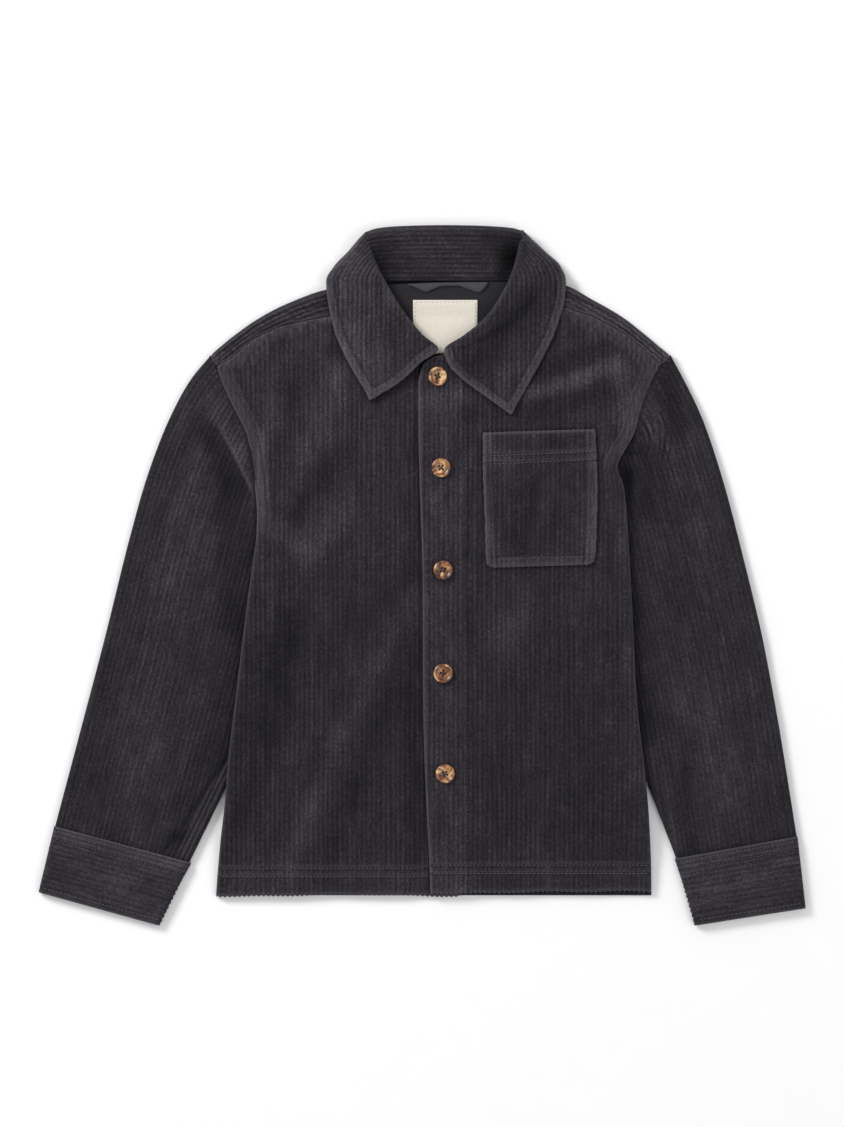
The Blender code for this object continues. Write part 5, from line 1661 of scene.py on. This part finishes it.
def build_yoke():
    """Two shoulder parts over the fold, joined by the plain stretch below the back neck."""
    points = []
    uv = []
    marks = []
    faces = []
    for table in (SHOULDER, SHOULDER_FAR):
        ids = []
        parts = [np.linspace(a[0], b[0], max(2, round(abs(b[0] - a[0]) / 1.3)) + 1)
                 for a, b in zip(table, table[1:])]
        xs = np.unique(np.round(np.concatenate(parts), 3))
        for x in xs:
            fold = float(curve(table, x, 1))
            seam = float(straight(table, x, 2))
            start = len(points)
            for y, z, across in yoke_section(x, fold, seam, yoke_low(x)):
                points.append((x, y, z))
                # The ribs look twisted like rope where the cloth is pulled on the bias
                uv.append((across + 0.50 * math.sin(x / 0.95 + across * 0.9), x))
                to_seam = y - seam if 0.0 <= across < 40.0 else 40.0
                slant = 0.84
                # Painted sheen with rubbed pile along the front seam and the shoulder fold, and a painted
                # shadow beside the collar's leaves
                rim = 0.55 * float(falloff(to_seam * slant, 1.4))
                rim += 0.25 * float(falloff(across * slant + 2.0, 3.0))
                dark = 0.5 * float(sunk(to_seam * slant - 2.2)) + 0.8 * float(sunk(to_seam * slant - 8.2))
                shade = 0.20 + 0.34 * (x > 0.0) + 0.2 * float(eased((9.8 - to_seam) / 2.0))
                shade -= float(leaf_shadow(x, y))
                end = min(abs(x + 164.2), abs(x - 192.0))
                shade += 0.45 * float(eased((6.4 - end) / 1.5))
                rim += 0.8 * float(falloff(end, 2.0)) + 0.5 * float(sunk(end - 7.4, 1.0))
                dark += 0.9 * float(sunk(end - 5.8, 0.8))
                marks.append((min(1.0, rim), min(1.0, dark), shade))
            ids.append(list(range(start, len(points))))
        patch_faces(np.array(ids), faces)
    ids = []
    for x in np.linspace(SHOULDER[-1][0], SHOULDER_FAR[0][0], 40):
        start = len(points)
        edge = float(straight(NECK_EDGE, x))
        for y in np.linspace(BACK_SEAM_Y + CLEAR, edge, 30):
            points.append((x, y, float(lift(x, y)) + 0.9))
            uv.append((y, x))
            marks.append((0.0, 0.0, 0.0))
        ids.append(list(range(start, len(points))))
    patch_faces(np.array(ids), faces)
    piece = finish_mesh("yoke", points, faces, np.array(uv), YOKE_CORD, np.array(marks))
    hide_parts("yoke")
    return piece


def flat_patch(name, x0, x1, y_low, y_high, height, thick, material, steps=(24, 24)):
    """A thin closed patch of plain cloth. y_low and y_high give its edges at each x."""
    xs = np.linspace(x0, x1, steps[0])
    ids = []
    points = []
    uv = []
    for layer in (thick, 0.0):
        rows = []
        for x in xs:
            low = y_low(x)
            high = y_high(x)
            start = len(points)
            for y in np.linspace(low, high, steps[1]):
                edge = min(x - x0, x1 - x, y - low, high - y)
                drop = float(roll(np.array(edge), 0.8, thick * 0.7)) if layer else 0.0
                points.append((x, y, float(height(x, y)) + layer - drop))
                uv.append((x, y))
            rows.append(list(range(start, len(points))))
        ids.append(np.array(rows))
    faces = []
    patch_faces(ids[0], faces)
    patch_faces(ids[1], faces, flip=True)
    close_rims(ids[0], ids[1], faces)
    return finish_mesh(name, points, faces, np.array(uv), material)


def over_yoke(x, y):
    return lift(x, y) + CLOTH + CLEAR


def build_inner_yoke():
    def neck(x):
        return float(straight(NECK_EDGE, x)) - 0.2

    def height(x, y):
        return over_yoke(x, y) + 0.12 * ripple(x, y, 30.0, 41)

    piece = flat_patch("inner_yoke", -30.0, 66.0, lambda x: 152.0, neck, height, PLAIN_CLOTH,
                       PLAIN, (40, 40))
    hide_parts("inner_yoke")
    return piece


def label_height(x, y):
    x0, _, x1, _ = LABEL
    curl = 0.5 * math.exp(-(x1 - x) / 6.0) + 0.3 * math.exp(-(x - x0) / 5.0)
    return over_yoke(x, y) + PLAIN_CLOTH + CLEAR + curl * 0.6 + 0.10 * ripple(x, y, 26.0, 43)


def build_label():
    x0, y0, x1, y1 = LABEL
    piece = flat_patch("label", x0, x1, lambda x: y0, lambda x: y1, label_height, 0.45,
                       CREAM, (50, 42))
    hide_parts("label")
    rows = []
    for line in (
        ((x0 + 1.5, y1 - 1.6), (x1 - 1.5, y1 - 1.6)),
        ((x1 - 1.6, y1 - 1.5), (x1 - 1.6, y0 + 1.5)),
        ((x0 + 1.6, y1 - 1.5), (x0 + 1.6, y0 + 1.5)),
    ):
        rows += stitch_row(line, lambda x, y: label_height(x, y) + 0.45)
    stitches("label_stitches", rows, 0.16, LABEL_THREAD)
    return piece


def build_loop():
    """Tape loop sewn into the neck seam, with two lobes and an arch between them."""
    def height(x, y):
        high = float(curve(LOOP, x, 1))
        low = float(curve(LOOP, x, 2))
        share = min(1.0, max(0.0, (y - low) / max(high - low, 0.1)))
        return over_yoke(x, high) + PLAIN_CLOTH + CLEAR + 0.3 + 0.7 * math.sin(math.pi * share)

    piece = flat_patch("hanger_loop", LOOP[0][0], LOOP[-1][0], lambda x: float(curve(LOOP, x, 2)),
                       lambda x: float(curve(LOOP, x, 1)), height, 0.8, TAPE, (60, 12))
    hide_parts("hanger_loop")
    return piece


# Pocket


def pocket_height(front):
    def height(x, y):
        low = curve(POCKET, y, 1)
        high = curve(POCKET, y, 2)
        mouth = 0.8 * eased((y - 84.0) / 30.0)
        share = np.clip((x - low) / (high - low), 0.0, 1.0)
        z = front(x, y) + CLEAR + POCKET_CLOTH + mouth * np.sin(np.pi * share)
        d_side = np.minimum(x - low, high - x)
        foot = y - POCKET_FOOT
        z = z - roll(d_side, 2.0, 1.7) - roll(foot, 2.0, 1.7) - roll(POCKET_MOUTH - y, 1.6, 1.3)
        z = z + 0.7 * eased((POCKET_BAND - np.minimum(d_side, foot)) / 1.5)
        z = z + 0.4 * eased((y - POCKET_ROWS[0]) / 1.5)
        return z

    return height


def build_pocket(front_top_height):
    rows = rows_between(POCKET_FOOT, POCKET_MOUTH, 2.6, marks=(POCKET_FOOT_ROW, *POCKET_ROWS))
    low = curve(POCKET, rows, 1)
    high = curve(POCKET, rows, 2)
    corner = 3.0 * np.clip(1.0 - (rows - POCKET_FOOT) / 3.0, 0.0, 1.0) ** 2
    low = low + corner
    high = high - corner
    columns = wale_columns(low.min(), high.max())
    sheet = Sheet(rows, low, high, columns, wander)
    under = Sheet(rows, low, high, columns[::4], wander)
    base = pocket_height(front_top_height)

    def sewn(x, y):
        z = base(x, y)
        z = z - sum(groove(y - row, 0.5) for row in POCKET_ROWS)
        inner = np.minimum(x - curve(POCKET, y, 1), curve(POCKET, y, 2) - x) - POCKET_BAND
        side = np.where(y < 88.0, 1.0, 0.6)
        z = z - side * groove(inner, 0.45)
        return z - groove(y - POCKET_FOOT_ROW, 0.45) * (inner > 0.0)

    ribs = wale_height(sheet.wale)
    top_z = sewn(sheet.across, sheet.along) + ribs * 0.95
    under_z = base(under.across, under.along) - THIN
    x = sheet.across
    y = sheet.along
    side = np.minimum(x - curve(POCKET, y, 1), curve(POCKET, y, 2) - x)
    mouth = POCKET_MOUTH - y
    foot = y - POCKET_FOOT
    # Painted sheen with rubbed pile along the edges, light lines beside the rows, and darker stitch lines
    rim = 1.0 * falloff(np.minimum(side, foot), 2.2) + 1.0 * falloff(mouth, 1.6)
    rim = rim + 0.35 * sunk(side - 6.6, 0.9) + 0.35 * sunk(foot - 6.6, 0.9) * (side > 7.0)
    rim = rim + 0.45 * sum(sunk(y - row - 1.4, 0.7) for row in POCKET_ROWS)
    dark = 0.8 * sunk(side - POCKET_BAND) * (0.55 + 0.45 * (y < POCKET_ROWS[0]))
    dark = dark + 0.8 * sunk(foot - POCKET_BAND) * (side > POCKET_BAND)
    dark = dark + 0.75 * sum(sunk(y - row) for row in POCKET_ROWS)
    shade = pile_lie_and_shading(POCKET_PILE_AND_SHADING, x, y) + 0.42 * eased((POCKET_BAND - np.minimum(side, foot)) / 1.5)
    shade = shade + 0.35 * sunk(y - 94.6, 2.4)
    marks = pile_marks(rim, dark, shade)
    # Ends of the wales and turns of the stitches leave small bumps along the edges
    bumps = 0.30 * np.sin(y * 1.85 + 1.5 * np.sin(y / 9.0)) * np.exp(-np.maximum(0.0, side) / 1.5)
    sheet.across = x + bumps * np.where(x > POCKET_MIDDLE, 1.0, -1.0)
    up = 1.2 * ribs * np.exp(-np.maximum(0.0, mouth) / 1.2)
    down = ribs * np.exp(-np.maximum(0.0, foot) / 1.2)
    sheet.along = y + up - down + pocket_tilt(x)
    under.along = under.along + pocket_tilt(under.across)
    piece = shell("pocket", sheet, under, top_z, under_z, CORD, marks)
    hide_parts("pocket")
    return piece, sewn


# Collar


def leaf_layout(table, y):
    return [curve(table, y, k) if k < 3 else straight(table, y, k) for k in (1, 2, 3, 4)]


def leaf_line(way):
    return LEAF_LINE_RIGHT if way < 0.0 else LEAF_LINE_LEFT


def leaf_sewn(y):
    """1 where the edge of a leaf is sewn, and less where it runs back over the shoulder."""
    return 1.0 - eased((y - 228.0) / 14.0)


def leaf_height(table, way):
    """Upper side of a collar leaf, without its ribs."""
    def height(x, y):
        x = np.asarray(x, float)
        y = np.asarray(y, float)
        roll_x, edge_x, tucked, air = leaf_layout(table, y)
        off = np.maximum(0.0, (x - roll_x) * way)
        width = np.abs(edge_x - roll_x)
        down = eased((y - SIDE_FOLD_Y) / 8.0)
        base = front_top(x, np.minimum(y, LEAF_TURN)) + 0.9
        over = 1.0 - eased((off - tucked - 4.0) / 12.0)
        z = base + COLLAR_CLOTH + (COLLAR_CLOTH + air) * over
        share = 1.0 / np.sqrt(1.0 + 0.6)
        fold = np.minimum(4.0, width * 0.35)
        z = z - roll(off, fold, (COLLAR_CLOTH + air * 0.5) * (0.35 + 0.65 * eased((y - 172.0) / 10.0)))
        edge = (width - off) * share
        z = z - roll(edge, np.minimum(2.0 + 3.0 * down, width * 0.5), 1.3 + down * (z - 2.1))
        free = line_distance(x, y, leaf_line(way))
        sewn = leaf_sewn(y)
        z = z + sewn * (0.6 * eased((COLLAR_ROW - free) / 1.6) - groove(free - COLLAR_ROW, 0.6))
        return z

    return height


def leaf_bend(table):
    """Wales of a leaf stand upright and turn with the outer edge toward the back."""
    def place(c, y):
        shift = curve(table, np.maximum(y, LEAF_TURN), 2) - float(curve(table, LEAF_TURN, 2))
        return c + 0.3 * ripple(c * 0.4, y, 60.0, 51) + shift * eased((y - LEAF_TURN + 14.0) / 26.0)

    return place


def build_leaf(name, table, way):
    rows = rows_between(table[0][0], table[-1][0], 1.6)
    roll_x, edge_x, _, _ = leaf_layout(table, rows)
    low = np.minimum(roll_x, edge_x)
    high = np.maximum(roll_x, edge_x)
    columns = wale_columns(low.min() - 34.0, high.max() + 34.0)
    bend = leaf_bend(table)
    sheet = Sheet(rows, low, high, columns, bend)
    under = Sheet(rows, low, high, columns[::4], bend)
    height = leaf_height(table, way)
    x = sheet.across
    y = sheet.along
    free = line_distance(x, y, leaf_line(way))
    sewn = leaf_sewn(y)
    plain = (0.55 if way < 0.0 else 0.9) * sewn * eased((6.6 - free) / 1.2)
    ribs = wale_height(sheet.wale) * (1.0 - plain) + 0.25 * plain * ripple(x, y, 4.0, 61)
    top_z = height(x, y) + ribs
    under_z = height(under.across, under.along) - THIN
    off = np.maximum(0.0, (x - curve(table, y, 1)) * way)
    # Painted sheen with rubbed pile along the free edge, and a painted highlight along the roll
    rim = 0.95 * (0.3 + 0.7 * sewn) * falloff(free, 2.2) + 0.40 * falloff(off, 3.0) * eased((y - 180.0) / 20.0)
    rim = rim + sewn * 0.30 * sunk(free - 5.3, 0.9)
    shade = pile_lie_and_shading(COLLAR_PILE_AND_SHADING, x, y) + sewn * 0.45 * eased((COLLAR_ROW - free) / 1.6)
    shade = shade + (0.12 if way < 0.0 else 0.16)
    marks = pile_marks(rim, 0.95 * sewn * sunk(free - COLLAR_ROW), shade)
    bumps = (wale_height(sheet.wale) + 0.12 * ripple(x, y, 5.0, 62)) * np.exp(-np.maximum(0.0, free) / 1.3)
    sheet.along = y - 0.9 * sewn * bumps
    piece = shell(name, sheet, under, top_z, under_z, LEAF_CORD, marks)
    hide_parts("collar")
    return piece, height


def build_collar_back():
    """Stand and roll of the collar at the back of the neck, and the fall that lies underneath."""
    path = np.array(COLLAR_BACK, float)
    fine = [path[0]]
    for k in range(len(path) - 1):
        p0 = path[max(0, k - 1)]
        p1 = path[k]
        p2 = path[k + 1]
        p3 = path[min(len(path) - 1, k + 2)]
        count = max(2, round(float(np.linalg.norm(p2 - p1)) / (WALE / WALE_STEPS)))
        if k > 10:
            count = 4
        for j in range(1, count + 1):
            t = j / count
            square = (2.0 * p0 - 5.0 * p1 + 4.0 * p2 - p3) * t * t
            cube = (3.0 * p1 - p0 - 3.0 * p2 + p3) * t ** 3
            fine.append(0.5 * ((2.0 * p1) + (p2 - p0) * t + square + cube))
    fine = np.array(fine)
    steps = np.hypot(*np.diff(fine, axis=0).T)
    place = np.concatenate(([0.0], np.cumsum(steps)))
    tangent = np.gradient(fine, axis=0)
    tangent = tangent / np.linalg.norm(tangent, axis=1)[:, None]
    normal = np.stack((-tangent[:, 1], tangent[:, 0]), axis=1)
    ribs = 0.8 * wale_height(place) * (fine[:, 1] > 0.8)
    xs = np.linspace(COLLAR_TOP[0][0], COLLAR_TOP[-1][0], 60)
    neck_y = COLLAR_BACK[0][0]
    full = COLLAR_BACK[8][0] - neck_y
    points = []
    uv = []
    marks = []
    layers = []
    for offset in (0.0, -THIN):
        ids = []
        for x in xs:
            stretch = (float(curve(COLLAR_TOP, x, 1)) - neck_y) / full
            low = float(curve(COLLAR_TOP, x, 2))
            move = ribs + offset if offset == 0.0 else np.full(len(fine), offset)
            y = neck_y + (fine[:, 0] - neck_y + normal[:, 0] * move) * stretch
            z = fine[:, 1] + normal[:, 1] * move
            y[-1] = low
            z = np.maximum(z, 0.0)
            start = len(points)
            points += [(x, b, c) for b, c in zip(y, z)]
            uv += [(a, x) for a in place]
            # Painted shadow in the corner hollows beside the leaves' rolls
            corner = bell(x, y, 70.0, 250.0, 9.0, 12.0) + 0.45 * bell(x, y, -34.0, 246.0, 8.0, 12.0)
            shade = pile_lie_and_shading(COLLAR_PILE_AND_SHADING, x, y) - 2.2 * corner + 0.12 * ripple(x, y, 30.0, 71)
            low_seam = 0.6 * np.exp(-np.maximum(0.0, y - neck_y) / 2.0)
            marks += [(0.0, dark, lie_and_shading) for dark, lie_and_shading in zip(low_seam, shade)]
            ids.append(list(range(start, len(points))))
        layers.append(np.array(ids))
    faces = []
    patch_faces(layers[0], faces)
    patch_faces(layers[1], faces, flip=True)
    close_rims(layers[0], layers[1], faces)
    piece = finish_mesh("collar_back", points, faces, np.array(uv), STAND_CORD, np.array(marks))
    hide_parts("collar")
    return piece


# Buttons


BUTTON_PROFILE = (
    # radius, z
    (4.6, 0.0),
    (6.2, 0.15),
    (7.2, 0.75),
    (7.6, 1.45),
    (7.5, 2.15),
    (7.05, 2.65),
    (6.5, 2.8),
    (5.95, 2.72),
    (5.5, 2.45),
    (5.1, 2.15),
    (4.6, 2.0),
    (3.9, 1.95),
)
HOLE_PROFILE = ((0.85, 0.0), (0.85, 1.7), (1.07, 1.95))
HOLE_SPREAD = 1.75              # from the middle of a button to each hole


def circle(bm, x, y, z, radius, sides):
    ring = []
    for k in range(sides):
        a = 2.0 * math.pi * k / sides
        ring.append(bm.verts.new(((x + radius * math.cos(a)) * MM, (y + radius * math.sin(a)) * MM, z * MM)))
    return ring


def join_rings(bm, rings):
    for low, high in zip(rings, rings[1:]):
        for k in range(len(low)):
            n = (k + 1) % len(low)
            bm.faces.new((low[k], low[n], high[n], high[k]))


def fill_between(bm, loops):
    """Flat faces inside the first loop and outside the others."""
    edges = []
    for loop in loops:
        for one, two in zip(loop, loop[1:] + loop[:1]):
            edges.append(bm.edges.get((one, two)) or bm.edges.new((one, two)))
    bmesh.ops.triangle_fill(bm, use_beauty=True, use_dissolve=False, edges=edges)


def placed_mesh(name, bm, place):
    bmesh.ops.recalc_face_normals(bm, faces=bm.faces)
    bm.transform(place)
    mesh = bpy.data.meshes.new(name)
    bm.to_mesh(mesh)
    bm.free()
    return mesh


def build_button(number, x, y, turn, seat, resin):
    """A turned resin button with a raised rim, a dished face and four holes, sewn on with a cross."""
    bm = bmesh.new()
    rings = [circle(bm, 0.0, 0.0, z, radius, 56) for radius, z in BUTTON_PROFILE]
    join_rings(bm, rings)
    holes = []
    for quarter in range(4):
        a = math.pi / 4.0 + quarter * math.pi / 2.0
        at_x = HOLE_SPREAD * math.cos(a)
        at_y = HOLE_SPREAD * math.sin(a)
        holes.append([circle(bm, at_x, at_y, z, radius, 18) for radius, z in HOLE_PROFILE])
        join_rings(bm, holes[-1])
    for end in (0, -1):
        fill_between(bm, [rings[end]] + [hole[end] for hole in holes])
    spin = Matrix.Rotation(math.radians(turn), 4, "Z")
    tilt = Matrix.Rotation(math.radians(17.0 if number == 1 else 1.5), 4, "Y")
    place = Matrix.Translation(((x - CENTRE_X) * MM, (y - CENTRE_Y) * MM, seat * MM)) @ tilt @ spin
    name = "button_%d_turned" % number
    mesh = placed_mesh(name, bm, place)
    # Painted shade: the outer wall and the holes are darker than the face
    back = place.inverted()
    turned = mesh.color_attributes.new("turned", "FLOAT_COLOR", "POINT")
    for vertex, entry in zip(mesh.vertices, turned.data):
        spot = back @ vertex.co / MM
        reach = math.hypot(spot.x, spot.y)
        in_hole = 0.9 * (reach < 3.4) * float(eased((1.9 - spot.z) / 0.3))
        shade = 0.85 * float(eased((reach - 7.0) / 0.5)) + in_hole
        entry.color = (shade, shade, shade, 1.0)
    piece = add_piece(name, mesh, resin)
    mesh.set_sharp_from_angle(angle=math.radians(50.0))
    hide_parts("button_%d" % number)
    sew_button(number, place)
    return piece


def sew_button(number, place):
    """Thread through the holes, as a cross with a few strands each way."""
    bm = bmesh.new()
    radius = 0.24
    up = Vector((0.0, 0.0, 1.0))
    turns = [2.0 * math.pi * k / 8 for k in range(8)]
    for quarter in range(2):
        a = math.pi / 4.0 + quarter * math.pi / 2.0
        along = Vector((math.cos(a), math.sin(a), 0.0))
        side = Vector((-math.sin(a), math.cos(a), 0.0))
        for strand in (-0.26, 0.26):
            rings = []
            for share in np.linspace(-1.0, 1.0, 11):
                z = 2.15 + quarter * 0.2 - 1.3 * abs(share) ** 6
                middle = along * (share * HOLE_SPREAD * 1.05) + side * strand + up * z
                round_it = [side * (radius * math.cos(b)) + up * (radius * math.sin(b)) for b in turns]
                rings.append([bm.verts.new((middle + offset) * MM) for offset in round_it])
            join_rings(bm, rings)
            bm.faces.new(rings[0])
            bm.faces.new(rings[-1])
    name = "button_thread_%d" % number
    return add_piece(name, placed_mesh(name, bm, place), BUTTON_THREAD)


# Rows of stitches


def inside_line(points, away):
    """A line beside another one, a distance to its left, with its ends kept square."""
    points = [np.array(p, float) for p in points]
    out = []
    for k, p in enumerate(points):
        before = points[max(0, k - 1)]
        after = points[min(len(points) - 1, k + 1)]
        way = (after - before) / max(float(np.linalg.norm(after - before)), 1e-9)
        turn = 1.0
        if 0 < k < len(points) - 1:
            one = (p - before) / max(float(np.linalg.norm(p - before)), 1e-9)
            turn = 1.0 / max(0.45, abs(float(np.dot(one, way))))
        out.append((p[0] - way[1] * away * turn, p[1] + way[0] * away * turn))
    return out


def sew_all(right, left, pocket_top, leaf_right_top, leaf_left_top):
    def with_ribs(top, lift_by):
        return lambda x, y: float(top(np.array(x), np.array(y))) + lift_by

    def pocket_seat(lift_by):
        return lambda x, y: float(pocket_top(np.array(x), np.array(y - pocket_tilt(x)))) + lift_by

    def tilted(line):
        return [(x, y + pocket_tilt(x)) for x, y in line]

    def cuff_seat(x, y):
        return CUFF_TOP + 0.15 + 0.25 * float(ripple(x, y, 34.0, 31))

    hem = []
    for row in HEM_ROWS:
        y = right.y_hem + row
        start = float(right_edges(np.array([y]))[0][0]) + 3.0
        hem += stitch_row([(start, y), (3.0, y)], with_ribs(right.height, 0.42))
        y = left.y_hem + row
        start, end = [float(edge[0]) for edge in left_edges(np.array([y]))]
        hem += stitch_row([(start + 2.5, y), (end - 3.0, y)], with_ribs(left.height, 0.42))
    stitches("hem_stitches", hem, 0.30, PALE_THREAD)
    facing = stitch_row([(x, y) for y, x in FACING_STITCH if y < 150.0], with_ribs(left.height, 0.30))
    for front, table in ((right, ARMHOLE_RIGHT), (left, ARMHOLE_LEFT)):
        edge = [(float(curve(table, y)), float(y)) for y in np.linspace(front.underarm + 4.0, 168.0, 24)]
        for away in ARMHOLE_ROWS:
            line = inside_line(edge, -away if front.right else away)
            facing += stitch_row(line, with_ribs(front.height, 0.25))
    stitches("front_stitches", facing, 0.24, DARK_THREAD)
    rows = []
    for y0 in POCKET_ROWS:
        ends = (float(curve(POCKET, y0, 1)) + 1.5, float(curve(POCKET, y0, 2)) - 1.5)
        rows += stitch_row(tilted([(ends[0], y0 - 0.4), (ends[1], y0 + 0.6)]), pocket_seat(0.52))
    stitches("pocket_mouth_stitches", rows, 0.32, PALE_THREAD)
    rows = stitch_row(tilted([(60.0, POCKET_FOOT_ROW), (126.0, POCKET_FOOT_ROW + 1.0)]), pocket_seat(0.35))
    for side, away in ((1, POCKET_BAND), (2, -POCKET_BAND)):
        line = [(float(curve(POCKET, y, side)) + away, float(y)) for y in np.linspace(19.0, 113.0, 12)]
        rows += stitch_row(tilted(line), pocket_seat(0.35))
    stitches("pocket_stitches", rows, 0.24, DARK_THREAD)
    rows = []
    for way, top in ((-1.0, leaf_right_top), (1.0, leaf_left_top)):
        shown = [p for p in leaf_line(way) if p[1] < LEAF_TURN]
        rows += stitch_row(inside_line(shown, -way * COLLAR_ROW)[:-1], with_ribs(top, 0.30))
    stitches("collar_stitches", rows, 0.24, DARK_THREAD)
    rows = []
    for corners in (CUFF_RIGHT, CUFF_LEFT):
        for across, _, _ in CUFF_ROWS:
            one, two = cuff_line(corners, across / CUFF_DEEP)
            inset = (two - one) * 2.5 / math.hypot(*(two - one))
            rows += stitch_row([one + inset, two - inset], cuff_seat)
    stitches("cuff_stitches", rows, 0.26, PALE_THREAD)


# Floor, light and camera


def build_floor():
    """Pale seamless floor, a little below the garment's underside."""
    mesh = bpy.data.meshes.new("floor")
    size = 3.0
    corners = [(size * x, size * y, -0.0002) for x, y in ((-1, -1), (1, -1), (1, 1), (-1, 1))]
    mesh.from_pydata(corners, [], [(0, 1, 2, 3)])
    material, tree, shader = new_material("floor_white")
    grain = noise(tree, node(tree, "ShaderNodeTexCoord").outputs["Object"], 40.0)
    tone = ramp(tree, grain, ((0.0, (0.90, 0.90, 0.905)), (1.0, (0.92, 0.92, 0.92))))
    tree.links.new(tone, shader.inputs["Base Color"])
    shader.inputs["Roughness"].default_value = 0.9
    shader.inputs["Specular IOR Level"].default_value = 0.0
    mesh.materials.append(material)
    floor = bpy.data.objects.new("floor", mesh)
    bpy.context.scene.collection.objects.link(floor)


def area_light(name, place, target, size, power):
    light = bpy.data.lights.new(name, "AREA")
    light.shape = "DISK"
    light.size = size
    light.energy = power
    lamp = bpy.data.objects.new(name, light)
    lamp.location = place
    lamp.rotation_euler = (Vector(target) - Vector(place)).to_track_quat("-Z", "Y").to_euler()
    bpy.context.scene.collection.objects.link(lamp)


def build_light():
    area_light("key", (-1.9, 1.5, 1.7), (0.0, 0.0, 0.0), 1.0, 62.0)
    area_light("fill", (1.6, -0.6, 2.2), (0.0, 0.0, 0.0), 2.2, 16.0)
    world = bpy.data.worlds.new("studio")
    world.use_nodes = True
    background = world.node_tree.nodes["Background"]
    background.inputs["Color"].default_value = (1.0, 1.0, 1.0, 1.0)
    background.inputs["Strength"].default_value = 0.62
    bpy.context.scene.world = world
    bpy.context.scene.view_settings.view_transform = "Standard"


def build_camera():
    """Straight down at the photo's framing: 658 by 879 mm on the floor."""
    view_height = 0.8791
    distance = 3.2
    data = bpy.data.cameras.new("camera")
    data.sensor_fit = "VERTICAL"
    data.sensor_height = 24.0
    data.lens = data.sensor_height * distance / view_height
    data.clip_end = 20.0
    camera = bpy.data.objects.new("camera", data)
    camera.location = (-0.0003, 0.0095, distance)
    bpy.context.scene.collection.objects.link(camera)
    bpy.context.scene.camera = camera


# Assembly

build_camera()
build_light()
build_floor()

back = build_back()
yoke = build_yoke()
inner_yoke = build_inner_yoke()
front_right, right_z = build_front("front_right", HEM_RIGHT, 207.4, right_edges, right_front_top, True)
front_left, left_z = build_front("front_left", HEM_LEFT, 211.4, left_edges, left_front_top, False)
pocket, pocket_z = build_pocket(left_z.height)
right_layout = Sleeve(SLEEVE_RIGHT, ARMHOLE_RIGHT, UNDERARM_RIGHT, HIDDEN_SEAM_RIGHT, 1.6, 1.0)
left_layout = Sleeve(SLEEVE_LEFT, ARMHOLE_LEFT, UNDERARM_LEFT, HIDDEN_SEAM_LEFT, -1.6, -1.0)
sleeve_right = build_sleeve("sleeve_right", right_layout, SLEEVE_PILE_AND_SHADING)
sleeve_left = build_sleeve("sleeve_left", left_layout, SLEEVE_PILE_AND_SHADING)
cuff_right = build_cuff("cuff_right", CUFF_RIGHT)
cuff_left = build_cuff("cuff_left", CUFF_LEFT)
collar_back = build_collar_back()
leaf_right, leaf_right_z = build_leaf("collar_leaf_right", LEAF_RIGHT, -1.0)
leaf_left, leaf_left_z = build_leaf("collar_leaf_left", LEAF_LEFT, 1.0)
label = build_label()
loop = build_loop()


resin = tortoiseshell()
for count, (at_x, at_y, spin) in enumerate(BUTTONS):
    spots = [(at_x + dx, at_y + dy) for dx in (-6.0, 0.0, 6.0) for dy in (-6.0, 0.0, 6.0)]
    highest = max(float(left_front_top(x, y)) for x, y in spots)
    build_button(count + 1, at_x, at_y, spin, highest + WALE_RISE + 0.3, resin)

sew_all(right_z, left_z, pocket_z, leaf_right_z, leaf_left_z)
